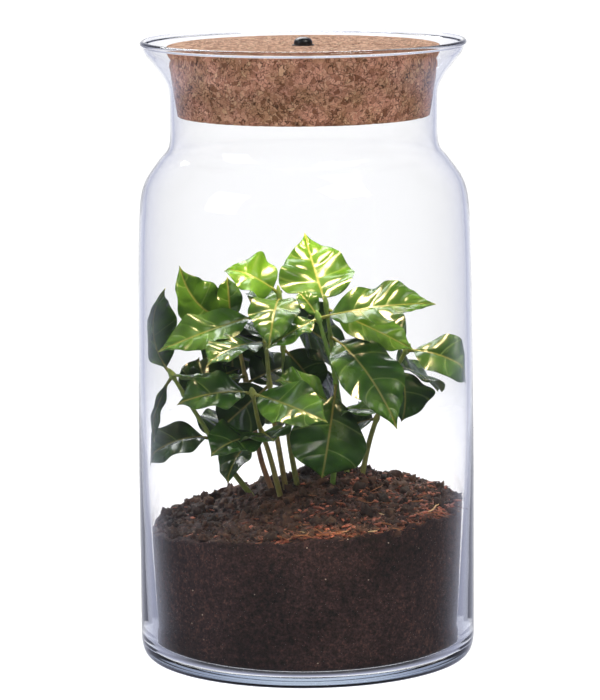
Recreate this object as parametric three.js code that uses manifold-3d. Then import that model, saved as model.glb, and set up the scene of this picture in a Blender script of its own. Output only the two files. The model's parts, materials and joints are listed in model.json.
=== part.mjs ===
// A closed jar terrarium: a flared glass jar on its foot, potting soil, eight young coffee
// seedlings, and a cork stopper that carries a push button and a small round grow lamp.
// Millimetres, +Z up, the jar's axis on Z and its foot on z = 0.

import * as THREE from 'three';
import { mergeVertices } from 'three/addons/utils/BufferGeometryUtils.js';
import Module from 'manifold-3d';

const wasm = await Module();
wasm.setup();

const FIT = 0.3; // clearance between pieces that touch on the real object

// Glass jar
const JAR_HEIGHT = 331.5;
const BODY_RADIUS = 90.2;
const BODY_NARROWS_FROM = 100;
const SHOULDER_START = 235;
const SHOULDER_START_RADIUS = 88.2;
const NECK_RADIUS = 71.1;
const RIM_RADIUS = 86.5;
const RIM_BEAD_RADIUS = 1.5;
const FOOT_RADIUS = 83.5;
const FOOT_RING_WIDTH = 12;
const FOOT_RING_BEVEL = 8;
const FOOT_PUSH_UP = 2.4;
const HEEL_HEIGHT = 8;
const BASE_THICKNESS = 5.5;
const INNER_HEEL_RADIUS = 7.5;
const FOOT_WALL = 8.0;
const BODY_WALL = 3.0;
const NECK_WALL = 2.1;
const FOOT_WALL_UP_TO = 20;
const BODY_WALL_FROM = 150;
const BODY_WALL_UP_TO = 235;
const NECK_WALL_FROM = 285;
const BODY_CURVE = 1.9; // how late the body begins to narrow
const FOOT_CURVE = 1.6; // how soon the thick foot thins out
const JAR_SIDES = 36;

// Potting soil
const SOIL_LEVEL = 75.5;
const SOIL_SLOPE = 0.072;
const SOIL_SLOPE_BACK = -0.035;
const MOUND = { height: 18, x: 15, y: 20, reachLeft: 42, reachRight: 30, reachDepth: 34 };
const SOIL_BELOW_LEVEL = 12; // the lowest front edge of the soil, below its level
const SOIL_SIDES = 36;
const SOIL_RINGS = 7;

// Cork stopper
const CORK_BOTTOM = 291.6;
const CORK_TOP = 328.3;
const CORK_BOTTOM_RADIUS = 67.0;
const CORK_TOP_RADIUS = 72.6;
const CORK_EDGE_ROUND = 0.9;
const CORK_SIDES = 36;

// Push button in the cork
const CAP_RADIUS = 4.95;
const CAP_STANDS_PROUD = 4.4;
const CAP_TRAVEL = 1.5;
const COLLAR_RADIUS = 5.9;
const COLLAR_STANDS_PROUD = 0.4;
const COLLAR_DEPTH = 3.2;
const BARREL_RADIUS = 4;
const CAP_STEM_RADIUS = 1.5;
const CAP_STEM_LENGTH = 6;
const NUT_ACROSS_FLATS = 12;
const NUT_THICKNESS = 2.6;
const BARREL_PAST_NUT = 0.8;
const CAP_SUNK_FOOT = 0.6;
const CAP_DOME_HEIGHT = 3.2;
const SWITCH_SIDES = 16;

// Grow lamp let into the cork's underside
const LAMP_RADIUS = 32;
const LAMP_RECESS = 16;
const LAMP_WALL = 2.3;
const LAMP_ROOF = 2;
const LENS_THICKNESS = 2;
const LENS_RING = 4;
const LENS_RING_WIDTH = 2;
const BOARD_LEDGE = 1.5;
const BOARD_THICKNESS = 1.6;
const LED_COUNT = 8;
const LED_RING_RADIUS = 19;
const LED_SIZE = 3.5;
const LED_THICKNESS = 1;
const CELL_RADIUS = 5.8;
const CELL_HEIGHT = 5.4;
const CELL_RING_RADIUS = 16;
const CELL_COUNT = 3;
const CELL_CAN_ROUND = 0.8;
const CELL_SIDES = 16;
const LAMP_SIDES = 22;

// Seedlings
const BLADE_THICKNESS = 0.7;
const BLADE_STATIONS = 8;
const ACROSS = [-1, -0.5, 0, 0.5, 1];
const STEM_BASE_RADIUS = 1.6;
const STEM_TOP_RADIUS = 1.0;
const STEM_SIDES = 6;
const PETIOLE_HALF_WIDTH = 0.8;
const PETIOLE_THICKNESS = 1.5;
const PETIOLE_SHARE = 0.1;
const USUAL_FOLD = 0.2;
// The blade's outline: where it is widest, how full it is, how much the drip tip narrows it, and
// the ripple of its margin
const OUTLINE = { widest: 0.84, fullness: 0.92, tipNarrowing: 0.55, ripple: 0.05, ripples: 3.1 };
// Up and down waves of the margin, as a share of the half width, and how far the left margin's
// waves lag the right one's, in radians
const MARGIN_WAVE = { height: 0.15, waves: 2.3, lag: 2.1 };
const ROOT_DEPTH = 20;
const GLASS_CLEARANCE = 1.4;
const GLASS_SOFTNESS = 4;

// Each seedling: its stem from the soil upwards, and its leaves in opposite pairs. A leaf starts
// at the share AT of the stem's length and ends at TIP. WIDTH is across the blade, and FACE is the
// way its upper side looks. BOW is how far the midrib arches up, and SWAY how far it bends to the
// leaf's right, as shares of the length. FOLD is how steeply the two halves rise from the midrib,
// TWIST how many degrees the blade turns about its midrib on the way to its tip, and WIDEST a power
// that puts its widest place nearer the foot the smaller it is.
const SEEDLINGS = [
  {
    stem: [[-31, 8, 84], [-43, 3, 102], [-56, -3, 126], [-65, -6, 142], [-71, -8, 153]],
    leaves: [
      { at: 1, tip: [-74, -14, 201], width: 32, face: [0.75, -0.6, 0.1], bow: -0.26 },
      { at: 1, tip: [-81, -14, 118], width: 11, face: [0.85, -0.35, 0.35], bow: -0.16 },
      { at: 0.48, tip: [-89, -12, 104], width: 26, face: [-0.1, -0.6, 0.8], bow: 0.22 },
      { at: 0.45, tip: [-42, 46, 121], width: 32, face: [0, -0.7, 0.7], bow: 0.1 },
      { at: 0.85, tip: [-36, 30, 150], width: 26, face: [0, -0.8, 0.6], bow: 0.06 },
      { at: 0.8, tip: [-58, 22, 158], width: 17, face: [0.3, -0.8, 0.4], bow: -0.1 },
    ],
  },
  {
    stem: [[-19, 8, 86], [-24, 10, 100], [-27, 12, 114], [-32, 14, 144], [-37, 15, 168], [-41, 15, 181]],
    leaves: [
      { at: 1, tip: [-67, 0, 211], width: 28, face: [0.55, -0.77, 0.12], bow: 0.06, sway: -0.22 },
      { at: 1, tip: [-40, 48, 140], width: 36, face: [0, -0.8, 0.6], bow: 0.12 },
      { at: 0.97, tip: [-42, 20, 202], width: 15, face: [0, -1, 0.1], bow: 0.1, fold: 0.5 },
      { at: 0.66, tip: [-70, -36, 158], width: 24, face: [0, 0.2, 1], bow: -0.02, fold: 0.06 },
      { at: 0.62, tip: [-4, 44, 151], width: 30, face: [0, -0.8, 0.6], bow: 0.06 },
      { at: 0.3, tip: [-42, -18, 95], width: 20, face: [-0.5, -0.7, 0.5], bow: 0.15 },
    ],
  },
  {
    stem: [[-14, -4, 84], [-20, -10, 110], [-25, -20, 128], [-28, -32, 147]],
    leaves: [
      { at: 1, tip: [-67, -42, 143], width: 27, face: [0, -0.6, 0.8], bow: 0.12 },
      { at: 1, tip: [11, -64, 137], width: 29, face: [0.1, -0.8, 0.55], bow: 0.05 },
      { at: 0.55, tip: [-50, -42, 115], width: 30, face: [-0.2, -0.6, 0.7], bow: 0.14 },
      { at: 0.6, tip: [-17, -43, 123], width: 30, face: [0, -0.6, 0.8], bow: 0.02 },
    ],
  },
  {
    stem: [[-11, 2, 86], [-15, -4, 113], [-18, -9, 134], [-20, -11, 156], [-22, -10, 175], [-25, -8, 185]],
    leaves: [
      { at: 1, tip: [-77, -28, 169], width: 27, face: [-0.1, -0.6, 0.8], bow: 0.04 },
      { at: 1, tip: [-19, 36, 190], width: 20, bow: 0.12 },
      { at: 0.85, tip: [-51, -50, 165], width: 25, face: [-0.2, -0.6, 0.75], bow: 0.12 },
      { at: 0.85, tip: [-22, 46, 172], width: 24, face: [0, -0.6, 0.8], bow: 0.08 },
      { at: 0.63, tip: [-47, 0, 121], width: 30, face: [0, -0.9, 0.3], bow: 0.06 },
    ],
  },
  {
    stem: [[-5, 6, 88], [-9, 4, 113], [-11, 3, 137], [-12, 1, 165], [-13, -2, 187], [-14, -3, 196]],
    leaves: [
      { at: 1, tip: [-43, 0, 208], width: 31, face: [-0.2, -0.6, 0.75], bow: 0.2, twist: 25, widest: 0.62 },
      { at: 0.97, tip: [-19, -42, 173], width: 28, face: [0, -0.5, 0.85], bow: 0.18 },
      { at: 0.9, tip: [25, 38, 151], width: 35, face: [0, -0.8, 0.6], bow: 0.08 },
      { at: 0.72, tip: [8, 12, 138], width: 26, face: [0.2, -0.9, 0.35], bow: 0.12 },
      { at: 0.5, tip: [-14, 54, 112], width: 32, face: [0, -0.8, 0.6], bow: 0.08 },
    ],
  },
  {
    stem: [[14, 0, 90], [16, -6, 117], [17, -11, 137], [15, -15, 156], [11, -18, 170], [7, -20, 185]],
    leaves: [
      { at: 1, tip: [68, -32, 194], width: 34, face: [0, -0.5, 0.85], bow: 0.05 },
      { at: 1, tip: [-21, -36, 171], width: 22, face: [0, -0.3, 0.95], bow: 0.04 },
      { at: 1, tip: [-4, -10, 198], width: 12, face: [0, -0.6, 0.8], bow: 0.1 },
      { at: 0.45, tip: [-16, -28, 153], width: 26, face: [-0.1, -0.5, 0.85], bow: 0.14 },
      { at: 0.45, tip: [41, -40, 137], width: 24, face: [0, -0.4, 0.9], bow: 0.06 },
      { at: 0.62, tip: [8, -42, 103], width: 42, face: [0, -1, -0.15], bow: 0.16, widest: 1.2 },
    ],
  },
  {
    stem: [[22, 14, 90], [21, 12, 114], [17, 6, 142], [14, -2, 168], [12, -5, 183], [11, -6, 191]],
    leaves: [
      { at: 1, tip: [0, 36, 223], width: 42, face: [0, -0.6, 0.8], bow: -0.05, fold: 0.08, widest: 0.62 },
      { at: 0.97, tip: [58, -12, 166], width: 26, face: [0.1, -0.6, 0.8], bow: 0.03, fold: 0.1 },
      { at: 0.82, tip: [47, -52, 131], width: 35, face: [0.15, -0.75, 0.6], bow: 0.16 },
      { at: 0.6, tip: [12, 54, 112], width: 38, face: [0, -0.8, 0.6], bow: 0.1 },
      { at: 0.6, tip: [54, 56, 138], width: 28, face: [0, -0.4, 0.9], bow: 0.12 },
    ],
  },
  {
    stem: [[30, 16, 90], [34, 15, 110], [38, 13, 124], [44, 9, 141], [50, 5, 156], [54, 2, 164]],
    leaves: [
      { at: 1, tip: [94, -14, 148], width: 28, face: [0.2, -0.75, 0.6], bow: 0.22 },
      { at: 1, tip: [28, 36, 177], width: 28, face: [0, -0.7, 0.7], bow: 0.1 },
      { at: 0.85, tip: [51, -4, 126], width: 32, face: [0.5, -0.75, 0.3], bow: 0.2 },
      { at: 0.85, tip: [73, 34, 136], width: 36, face: [0, -0.5, 0.9], bow: 0.12 },
      { at: 0.45, tip: [14, 41, 110], width: 26, face: [0, -0.8, 0.6], bow: 0.08 },
    ],
  },
];

// Joins and cuts

function solidOf(geometry) {
  const bare = geometry.clone();
  bare.deleteAttribute('normal');
  bare.deleteAttribute('uv');
  const merged = mergeVertices(bare, 1e-4);
  const mesh = new wasm.Mesh({
    numProp: 3,
    vertProperties: new Float32Array(merged.attributes.position.array),
    triVerts: new Uint32Array(merged.index.array),
  });
  return new wasm.Manifold(mesh);
}

function geometryOf(solid) {
  const mesh = solid.getMesh();
  const geometry = new THREE.BufferGeometry();
  geometry.setAttribute('position', new THREE.BufferAttribute(new Float32Array(mesh.vertProperties), 3));
  geometry.setIndex(new THREE.BufferAttribute(new Uint32Array(mesh.triVerts), 1));
  return geometry;
}

function joined(solids) {
  return solids.reduce((whole, piece) => whole.add(piece));
}

// The outer skin alone, so that a pocket closed in between a leaf's foot and the stem is filled
function withoutPockets(solid) {
  return solid.decompose().reduce((largest, skin) => (skin.volume() > largest.volume() ? skin : largest));
}

// A solid of revolution about Z from [radius, height] points that run up its outside
function turned(profile, sides) {
  const points = profile.map(([radius, height]) => new THREE.Vector2(radius, height));
  return new THREE.LatheGeometry(points, sides).rotateX(Math.PI / 2);
}

function disc(radius, bottom, top, sides) {
  return turned([[0, bottom], [radius, bottom], [radius, top], [0, top]], sides);
}

// Glass jar

function outerRadiusAt(height) {
  const share = Math.max(0, (height - BODY_NARROWS_FROM) / (SHOULDER_START - BODY_NARROWS_FROM));
  return BODY_RADIUS - (BODY_RADIUS - SHOULDER_START_RADIUS) * share ** BODY_CURVE;
}

// The glass is thickest at the foot and thinnest in the neck
function wallAt(height) {
  const share = THREE.MathUtils.inverseLerp(BODY_WALL_FROM, FOOT_WALL_UP_TO, height);
  const low = THREE.MathUtils.clamp(share, 0, 1) ** FOOT_CURVE;
  const high = THREE.MathUtils.smoothstep(height, BODY_WALL_UP_TO, NECK_WALL_FROM);
  return THREE.MathUtils.lerp(THREE.MathUtils.lerp(BODY_WALL, FOOT_WALL, low), NECK_WALL, high);
}

// Inside radius of the straight part, below the shoulder
function innerRadiusAt(height) {
  return outerRadiusAt(height) - wallAt(height);
}

function jarOuterPoints() {
  const heel = new THREE.CubicBezierCurve(
    new THREE.Vector2(FOOT_RADIUS, 0),
    new THREE.Vector2(FOOT_RADIUS + 4.2, 0),
    new THREE.Vector2(BODY_RADIUS, HEEL_HEIGHT * 0.45),
    new THREE.Vector2(BODY_RADIUS, HEEL_HEIGHT * 1.6),
  );
  const shoulder = new THREE.SplineCurve([
    new THREE.Vector2(BODY_RADIUS, BODY_NARROWS_FROM),
    new THREE.Vector2(outerRadiusAt(185), 185),
    new THREE.Vector2(SHOULDER_START_RADIUS, SHOULDER_START),
    new THREE.Vector2(85.6, 254.4),
    new THREE.Vector2(77.6, 267.3),
    new THREE.Vector2(72.5, 273.7),
    new THREE.Vector2(NECK_RADIUS, 281),
  ]);
  const flare = new THREE.SplineCurve([
    new THREE.Vector2(NECK_RADIUS, 298),
    new THREE.Vector2(71.6, 305.6),
    new THREE.Vector2(74.7, 312.2),
    new THREE.Vector2(79.9, 319.2),
    new THREE.Vector2(83.9, 324.5),
    new THREE.Vector2(RIM_RADIUS - 1.1, 328.4),
  ]);
  return [...heel.getPoints(3), ...shoulder.getPoints(7), ...flare.getPoints(5)];
}

// The inner side follows the outer side one wall thickness in, above the inner heel
function jarInnerPoints(outer) {
  const inner = [];
  outer.forEach((point, i) => {
    if (point.y < BASE_THICKNESS + INNER_HEEL_RADIUS) return;
    const along = outer[Math.min(i + 1, outer.length - 1)].clone().sub(outer[i - 1]).normalize();
    inner.push(new THREE.Vector2(point.x - along.y * wallAt(point.y), point.y + along.x * wallAt(point.y)));
  });
  return inner;
}

function jarGeometry() {
  const outer = jarOuterPoints();
  const inner = jarInnerPoints(outer);
  const heelCentre = BASE_THICKNESS + INNER_HEEL_RADIUS;
  const innerRadius = innerRadiusAt(heelCentre);
  const ringInside = FOOT_RADIUS - FOOT_RING_WIDTH;
  const profile = [[0, FOOT_PUSH_UP], [ringInside - FOOT_RING_BEVEL, FOOT_PUSH_UP * 0.8], [ringInside, 0]];
  outer.forEach((point) => profile.push([point.x, point.y]));
  // Rim bead, from the outer side over the top to the inner side
  for (let step = 0; step <= 3; step += 1) {
    const turn = THREE.MathUtils.degToRad(-30 + step * 60);
    const x = RIM_RADIUS - RIM_BEAD_RADIUS + RIM_BEAD_RADIUS * Math.cos(turn);
    profile.push([x, JAR_HEIGHT - RIM_BEAD_RADIUS + RIM_BEAD_RADIUS * Math.sin(turn)]);
  }
  inner.reverse().forEach((point) => profile.push([point.x, point.y]));
  // Inner heel, down to the glass floor
  for (let step = 0; step <= 3; step += 1) {
    const turn = THREE.MathUtils.degToRad(step * 30);
    const x = innerRadius - INNER_HEEL_RADIUS * (1 - Math.cos(turn));
    profile.push([x, heelCentre - INNER_HEEL_RADIUS * Math.sin(turn)]);
  }
  profile.push([0, BASE_THICKNESS]);
  return turned(profile, JAR_SIDES);
}

// Seedlings: stems and leaves

// A point past the soft start of the glass is eased back, so a leaf lies along the wall
function keptInsideGlass(point) {
  const limit = innerRadiusAt(point.z) - GLASS_CLEARANCE;
  const radius = Math.hypot(point.x, point.y);
  const start = limit - GLASS_SOFTNESS;
  if (radius <= start) return point;
  const eased = start + GLASS_SOFTNESS * (1 - Math.exp(-(radius - start) / GLASS_SOFTNESS));
  point.x *= eased / radius;
  point.y *= eased / radius;
  return point;
}

function midribOf(leaf, stemCurve) {
  const start = stemCurve.getPointAt(leaf.at);
  const tip = new THREE.Vector3(...leaf.tip);
  const face = new THREE.Vector3(...(leaf.face ?? [0, 0, 1])).normalize();
  const chord = tip.clone().sub(start);
  const rise = face.clone().multiplyScalar(chord.length() * leaf.bow);
  rise.addScaledVector(chord.clone().cross(face), leaf.sway ?? 0);
  const near = start.clone().lerp(tip, 0.3).addScaledVector(rise, 1.3);
  const far = start.clone().lerp(tip, 0.72).addScaledVector(rise, 1.2);
  return { curve: new THREE.CubicBezierCurve3(start, near, far, tip), face };
}

// Half the leaf's width at the share s of the blade: elliptic, drawn out to a drip tip. Below
// zero, s is the petiole.
function halfWidthAt(leaf, s) {
  if (s <= 0) return PETIOLE_HALF_WIDTH;
  const body = Math.sin(Math.PI * Math.min(s, 1) ** (leaf.widest ?? OUTLINE.widest)) ** OUTLINE.fullness;
  const dripTip = 1 - OUTLINE.tipNarrowing * THREE.MathUtils.smoothstep(s, 0.75, 0.98);
  const ripple = 1 + OUTLINE.ripple * Math.sin(Math.PI * 2 * OUTLINE.ripples * s + leaf.phase * 1.7);
  return Math.max(PETIOLE_HALF_WIDTH, 0.5 * leaf.width * body * dripTip * ripple);
}

function thicknessAt(s) {
  return THREE.MathUtils.lerp(PETIOLE_THICKNESS, BLADE_THICKNESS, THREE.MathUtils.smoothstep(s, 0, 0.12));
}

// A point of the leaf's middle sheet: s runs from the petiole over the blade to the tip, and v
// from one margin to the other
function leafPoint(leaf, midrib, s, v) {
  const t = s < 0 ? PETIOLE_SHARE * (1 + s) : PETIOLE_SHARE + (1 - PETIOLE_SHARE) * s;
  const point = midrib.curve.getPoint(t);
  const along = midrib.curve.getTangent(t);
  const across = along.clone().cross(midrib.face).normalize();
  across.applyAxisAngle(along, THREE.MathUtils.degToRad((leaf.twist ?? 0) * Math.max(s, 0)));
  const up = across.clone().cross(along).normalize();
  const half = halfWidthAt(leaf, s);
  const turn = Math.PI * 2 * MARGIN_WAVE.waves * s + leaf.phase + (v < 0 ? MARGIN_WAVE.lag : 0);
  const fold = half * Math.abs(v) * (leaf.fold ?? USUAL_FOLD);
  const wave = half * MARGIN_WAVE.height * Math.abs(v) ** 1.4 * Math.sin(turn);
  point.addScaledVector(across, half * v * 0.97);
  point.addScaledVector(up, s <= 0 ? 0 : fold + wave);
  return keptInsideGlass(point);
}

function leafNormal(leaf, midrib, s, v) {
  const s0 = Math.max(s - 0.02, -1);
  const s1 = Math.min(s + 0.02, 0.99);
  const middle = (s0 + s1) / 2;
  const along = leafPoint(leaf, midrib, s1, v).sub(leafPoint(leaf, midrib, s0, v));
  const across = leafPoint(leaf, midrib, middle, v + 0.1).sub(leafPoint(leaf, midrib, middle, v - 0.1));
  return across.cross(along).normalize();
}

// A leaf is two alike sheets, one thickness apart, closed along the margin, at the foot of the
// petiole and at the tip
function leafGeometry(leaf, midrib) {
  const positions = [];
  const index = [];
  const rows = [];
  for (let i = -1; i <= BLADE_STATIONS; i += 1) {
    const s = i < 0 ? -1 : i / BLADE_STATIONS;
    const shares = i === BLADE_STATIONS ? [0] : ACROSS;
    rows.push(shares.map((v) => {
      const centre = leafPoint(leaf, midrib, s, v);
      const normal = leafNormal(leaf, midrib, s, v);
      [0.5, -0.5].forEach((side) => {
        positions.push(...centre.clone().addScaledVector(normal, side * thicknessAt(s)).toArray());
      });
      return positions.length / 3 - 2;
    }));
  }
  const bothFaces = (a, b, c) => {
    index.push(a, b, c);
    index.push(a + 1, c + 1, b + 1);
  };
  const wall = (from, to) => index.push(from, to, from + 1, to, to + 1, from + 1);
  const strips = ACROSS.length - 1;
  for (let i = 0; i < rows.length - 1; i += 1) {
    const here = rows[i];
    const next = rows[i + 1];
    for (let j = 0; j < strips; j += 1) {
      const [a, b] = [here[j], here[j + 1]];
      const [c, d] = next.length === 1 ? [next[0], next[0]] : [next[j], next[j + 1]];
      const towardsLeft = j < strips / 2 || c === d;
      bothFaces(a, b, towardsLeft ? c : d);
      if (c !== d) bothFaces(towardsLeft ? b : a, d, c);
    }
    wall(here[0], next[0]);
    wall(next[next.length - 1], here[strips]);
  }
  for (let j = 0; j < strips; j += 1) wall(rows[0][j + 1], rows[0][j]);
  const geometry = new THREE.BufferGeometry();
  geometry.setAttribute('position', new THREE.BufferAttribute(new Float32Array(positions), 3));
  geometry.setIndex(index);
  return geometry;
}

// A tapered rod along a curve, with flat ends
function rodGeometry(curve, from, to, rings, sides, startRadius, endRadius) {
  const positions = [];
  const index = [];
  const reference = new THREE.Vector3(0.31, 0.95, 0.02);
  for (let i = 0; i <= rings; i += 1) {
    const t = from + (to - from) * (i / rings);
    const centre = curve.getPoint(t);
    const along = curve.getTangent(t);
    const right = along.clone().cross(reference).normalize();
    const front = right.clone().cross(along);
    const radius = THREE.MathUtils.lerp(startRadius, endRadius, i / rings);
    for (let k = 0; k < sides; k += 1) {
      const turn = (Math.PI * 2 * k) / sides;
      const rim = centre.clone().addScaledVector(right, radius * Math.cos(turn));
      rim.addScaledVector(front, radius * Math.sin(turn));
      positions.push(...rim.toArray());
    }
  }
  for (let i = 0; i < rings; i += 1) {
    for (let k = 0; k < sides; k += 1) {
      const a = i * sides + k;
      const b = i * sides + ((k + 1) % sides);
      index.push(a, a + sides, b, b, a + sides, b + sides);
    }
  }
  const last = rings * sides;
  for (let k = 1; k < sides - 1; k += 1) {
    index.push(0, k, k + 1);
    index.push(last, last + k + 1, last + k);
  }
  const geometry = new THREE.BufferGeometry();
  geometry.setAttribute('position', new THREE.BufferAttribute(new Float32Array(positions), 3));
  geometry.setIndex(index);
  return geometry;
}

function stemCurveOf(seedling) {
  return new THREE.CatmullRomCurve3(seedling.stem.map((point) => new THREE.Vector3(...point)));
}

// The buried end runs straight on from the foot of the stem; REACH also carries it up
function rootLine(curve, depth, reach) {
  const foot = curve.getPoint(0);
  const along = curve.getTangent(0.01);
  const bottom = foot.clone().addScaledVector(along, -depth);
  return new THREE.LineCurve3(bottom, foot.addScaledVector(along, reach));
}

function seedlingGeometry(seedling, number) {
  const curve = stemCurveOf(seedling);
  const root = rootLine(curve, ROOT_DEPTH, 1);
  const pieces = [
    solidOf(rodGeometry(root, 0, 1, 1, STEM_SIDES, STEM_BASE_RADIUS * 0.7, STEM_BASE_RADIUS)),
    solidOf(rodGeometry(curve, 0, 1, 5, STEM_SIDES, STEM_BASE_RADIUS, STEM_TOP_RADIUS)),
  ];
  seedling.leaves.forEach((leaf, i) => {
    const shaped = { ...leaf, phase: number * 1.9 + i * 2.4 };
    const midrib = midribOf(shaped, curve);
    pieces.push(solidOf(leafGeometry(shaped, midrib)));
  });
  return geometryOf(withoutPockets(joined(pieces)));
}

// Potting soil

function soilHeightAt(x, y) {
  const reach = x < MOUND.x ? MOUND.reachLeft : MOUND.reachRight;
  const fall = ((x - MOUND.x) / reach) ** 2 + ((y - MOUND.y) / MOUND.reachDepth) ** 2;
  const mound = MOUND.height * Math.exp(-fall / 2);
  const clods = 0.9 * Math.sin(0.19 * x + 0.8) * Math.cos(0.23 * y) + 0.6 * Math.sin(0.37 * x + 0.29 * y);
  return SOIL_LEVEL + SOIL_SLOPE * x + SOIL_SLOPE_BACK * y + mound + clods;
}

function soilGeometry() {
  const floor = BASE_THICKNESS + FIT;
  const heel = INNER_HEEL_RADIUS;
  const heelRadius = innerRadiusAt(floor + heel) - FIT;
  const topRadius = innerRadiusAt(SOIL_LEVEL - SOIL_BELOW_LEVEL) - FIT;
  const positions = [0, 0, floor];
  const index = [];
  const ringHeights = [];
  for (let step = 0; step <= 3; step += 1) {
    const turn = THREE.MathUtils.degToRad(step * 30);
    const ring = heelRadius - heel * (1 - Math.sin(turn));
    ringHeights.push([ring, () => floor + heel * (1 - Math.cos(turn))]);
  }
  for (let step = 0; step < SOIL_RINGS; step += 1) {
    ringHeights.push([topRadius * (1 - step / SOIL_RINGS), soilHeightAt]);
  }
  ringHeights.forEach(([ring, heightAt]) => {
    for (let k = 0; k < SOIL_SIDES; k += 1) {
      const turn = (Math.PI * 2 * k) / SOIL_SIDES;
      const x = ring * Math.cos(turn);
      const y = ring * Math.sin(turn);
      positions.push(x, y, heightAt(x, y));
    }
  });
  positions.push(0, 0, soilHeightAt(0, 0));
  const at = (ring, k) => 1 + ring * SOIL_SIDES + (k % SOIL_SIDES);
  const top = positions.length / 3 - 1;
  for (let k = 0; k < SOIL_SIDES; k += 1) {
    index.push(0, at(0, k + 1), at(0, k));
    for (let ring = 0; ring < ringHeights.length - 1; ring += 1) {
      index.push(at(ring, k), at(ring, k + 1), at(ring + 1, k + 1));
      index.push(at(ring, k), at(ring + 1, k + 1), at(ring + 1, k));
    }
    index.push(at(ringHeights.length - 1, k), at(ringHeights.length - 1, k + 1), top);
  }
  const geometry = new THREE.BufferGeometry();
  geometry.setAttribute('position', new THREE.BufferAttribute(new Float32Array(positions), 3));
  geometry.setIndex(index);
  // Plain holes for the stems
  let soil = solidOf(geometry);
  SEEDLINGS.forEach((seedling) => {
    const hole = rootLine(stemCurveOf(seedling), ROOT_DEPTH + FIT, 6);
    const radiusAtFoot = STEM_BASE_RADIUS / Math.cos(Math.PI / STEM_SIDES) + FIT;
    soil = soil.subtract(solidOf(rodGeometry(hole, 0, 1, 1, STEM_SIDES, radiusAtFoot, radiusAtFoot)));
  });
  return geometryOf(soil);
}

// Cork stopper with its button seat, bore and lamp recess

function corkGeometry() {
  const round = CORK_EDGE_ROUND;
  const recessTop = CORK_BOTTOM + LAMP_RECESS;
  const recessRadius = LAMP_RADIUS + FIT;
  const boreRadius = BARREL_RADIUS + FIT;
  const seatRadius = COLLAR_RADIUS + FIT;
  const seatFloor = CORK_TOP - COLLAR_DEPTH;
  const profile = [
    [recessRadius, CORK_BOTTOM],
    [CORK_BOTTOM_RADIUS - round, CORK_BOTTOM],
    [CORK_BOTTOM_RADIUS, CORK_BOTTOM + round],
    [CORK_TOP_RADIUS, CORK_TOP - round],
    [CORK_TOP_RADIUS - round, CORK_TOP],
    [seatRadius, CORK_TOP],
    [seatRadius, seatFloor],
    [boreRadius, seatFloor],
    [boreRadius, recessTop],
    [recessRadius, recessTop],
    [recessRadius, CORK_BOTTOM],
  ];
  return turned(profile, CORK_SIDES);
}

// Push switch: collar, threaded barrel with a blind well for the cap, and its nut

const SEAT_FLOOR = CORK_TOP - COLLAR_DEPTH;
const RECESS_TOP = CORK_BOTTOM + LAMP_RECESS;
const ROOF_BOTTOM = RECESS_TOP - FIT - LAMP_ROOF;
const NUT_TOP = ROOF_BOTTOM - FIT;
const NUT_BOTTOM = NUT_TOP - NUT_THICKNESS;
const CAP_FOOT = CORK_TOP - CAP_SUNK_FOOT;
const WELL_FLOOR = CAP_FOOT - CAP_TRAVEL - FIT;

function switchBodyGeometry() {
  const wellRadius = CAP_RADIUS + FIT;
  const stemBore = CAP_STEM_RADIUS + FIT;
  const stemBoreFloor = CAP_FOOT - CAP_STEM_LENGTH - CAP_TRAVEL - FIT;
  const profile = [
    [0, NUT_BOTTOM - BARREL_PAST_NUT],
    [BARREL_RADIUS, NUT_BOTTOM - BARREL_PAST_NUT],
    [BARREL_RADIUS, SEAT_FLOOR + FIT],
    [COLLAR_RADIUS, SEAT_FLOOR + FIT],
    [COLLAR_RADIUS, CORK_TOP + COLLAR_STANDS_PROUD],
    [wellRadius, CORK_TOP + COLLAR_STANDS_PROUD],
    [wellRadius, WELL_FLOOR],
    [stemBore, WELL_FLOOR],
    [stemBore, stemBoreFloor],
    [0, stemBoreFloor],
  ];
  return turned(profile, SWITCH_SIDES);
}

function switchNutGeometry() {
  const outline = new THREE.Shape();
  const corner = NUT_ACROSS_FLATS / 2 / Math.cos(Math.PI / 6);
  for (let k = 0; k < 6; k += 1) {
    const turn = (Math.PI * k) / 3;
    const place = [corner * Math.cos(turn), corner * Math.sin(turn)];
    if (k === 0) outline.moveTo(...place);
    else outline.lineTo(...place);
  }
  const hole = new THREE.Path();
  hole.absarc(0, 0, BARREL_RADIUS + FIT, 0, Math.PI * 2, true);
  outline.holes.push(hole);
  const settings = { depth: NUT_THICKNESS, bevelEnabled: false, curveSegments: 12 };
  return new THREE.ExtrudeGeometry(outline, settings).translate(0, 0, NUT_BOTTOM);
}

function buttonCapGeometry() {
  const top = CORK_TOP + CAP_STANDS_PROUD;
  const profile = [[0, CAP_FOOT - CAP_STEM_LENGTH], [CAP_STEM_RADIUS, CAP_FOOT - CAP_STEM_LENGTH]];
  profile.push([CAP_STEM_RADIUS, CAP_FOOT], [CAP_RADIUS, CAP_FOOT]);
  const dome = new THREE.CubicBezierCurve(
    new THREE.Vector2(CAP_RADIUS, top - CAP_DOME_HEIGHT),
    new THREE.Vector2(CAP_RADIUS, top - CAP_DOME_HEIGHT * 0.35),
    new THREE.Vector2(CAP_RADIUS * 0.62, top),
    new THREE.Vector2(0, top),
  );
  dome.getPoints(4).forEach((point) => profile.push([point.x, point.y]));
  return turned(profile, SWITCH_SIDES);
}

// Grow lamp: housing, lens, board with its light chips, and three cells on the board

const LENS_BOTTOM = CORK_BOTTOM + FIT;
const BOARD_BOTTOM = LENS_BOTTOM + LENS_RING + FIT;
const BOARD_TOP = BOARD_BOTTOM + BOARD_THICKNESS;
const LAMP_SEAT_RADIUS = LAMP_RADIUS - LAMP_WALL;

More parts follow.
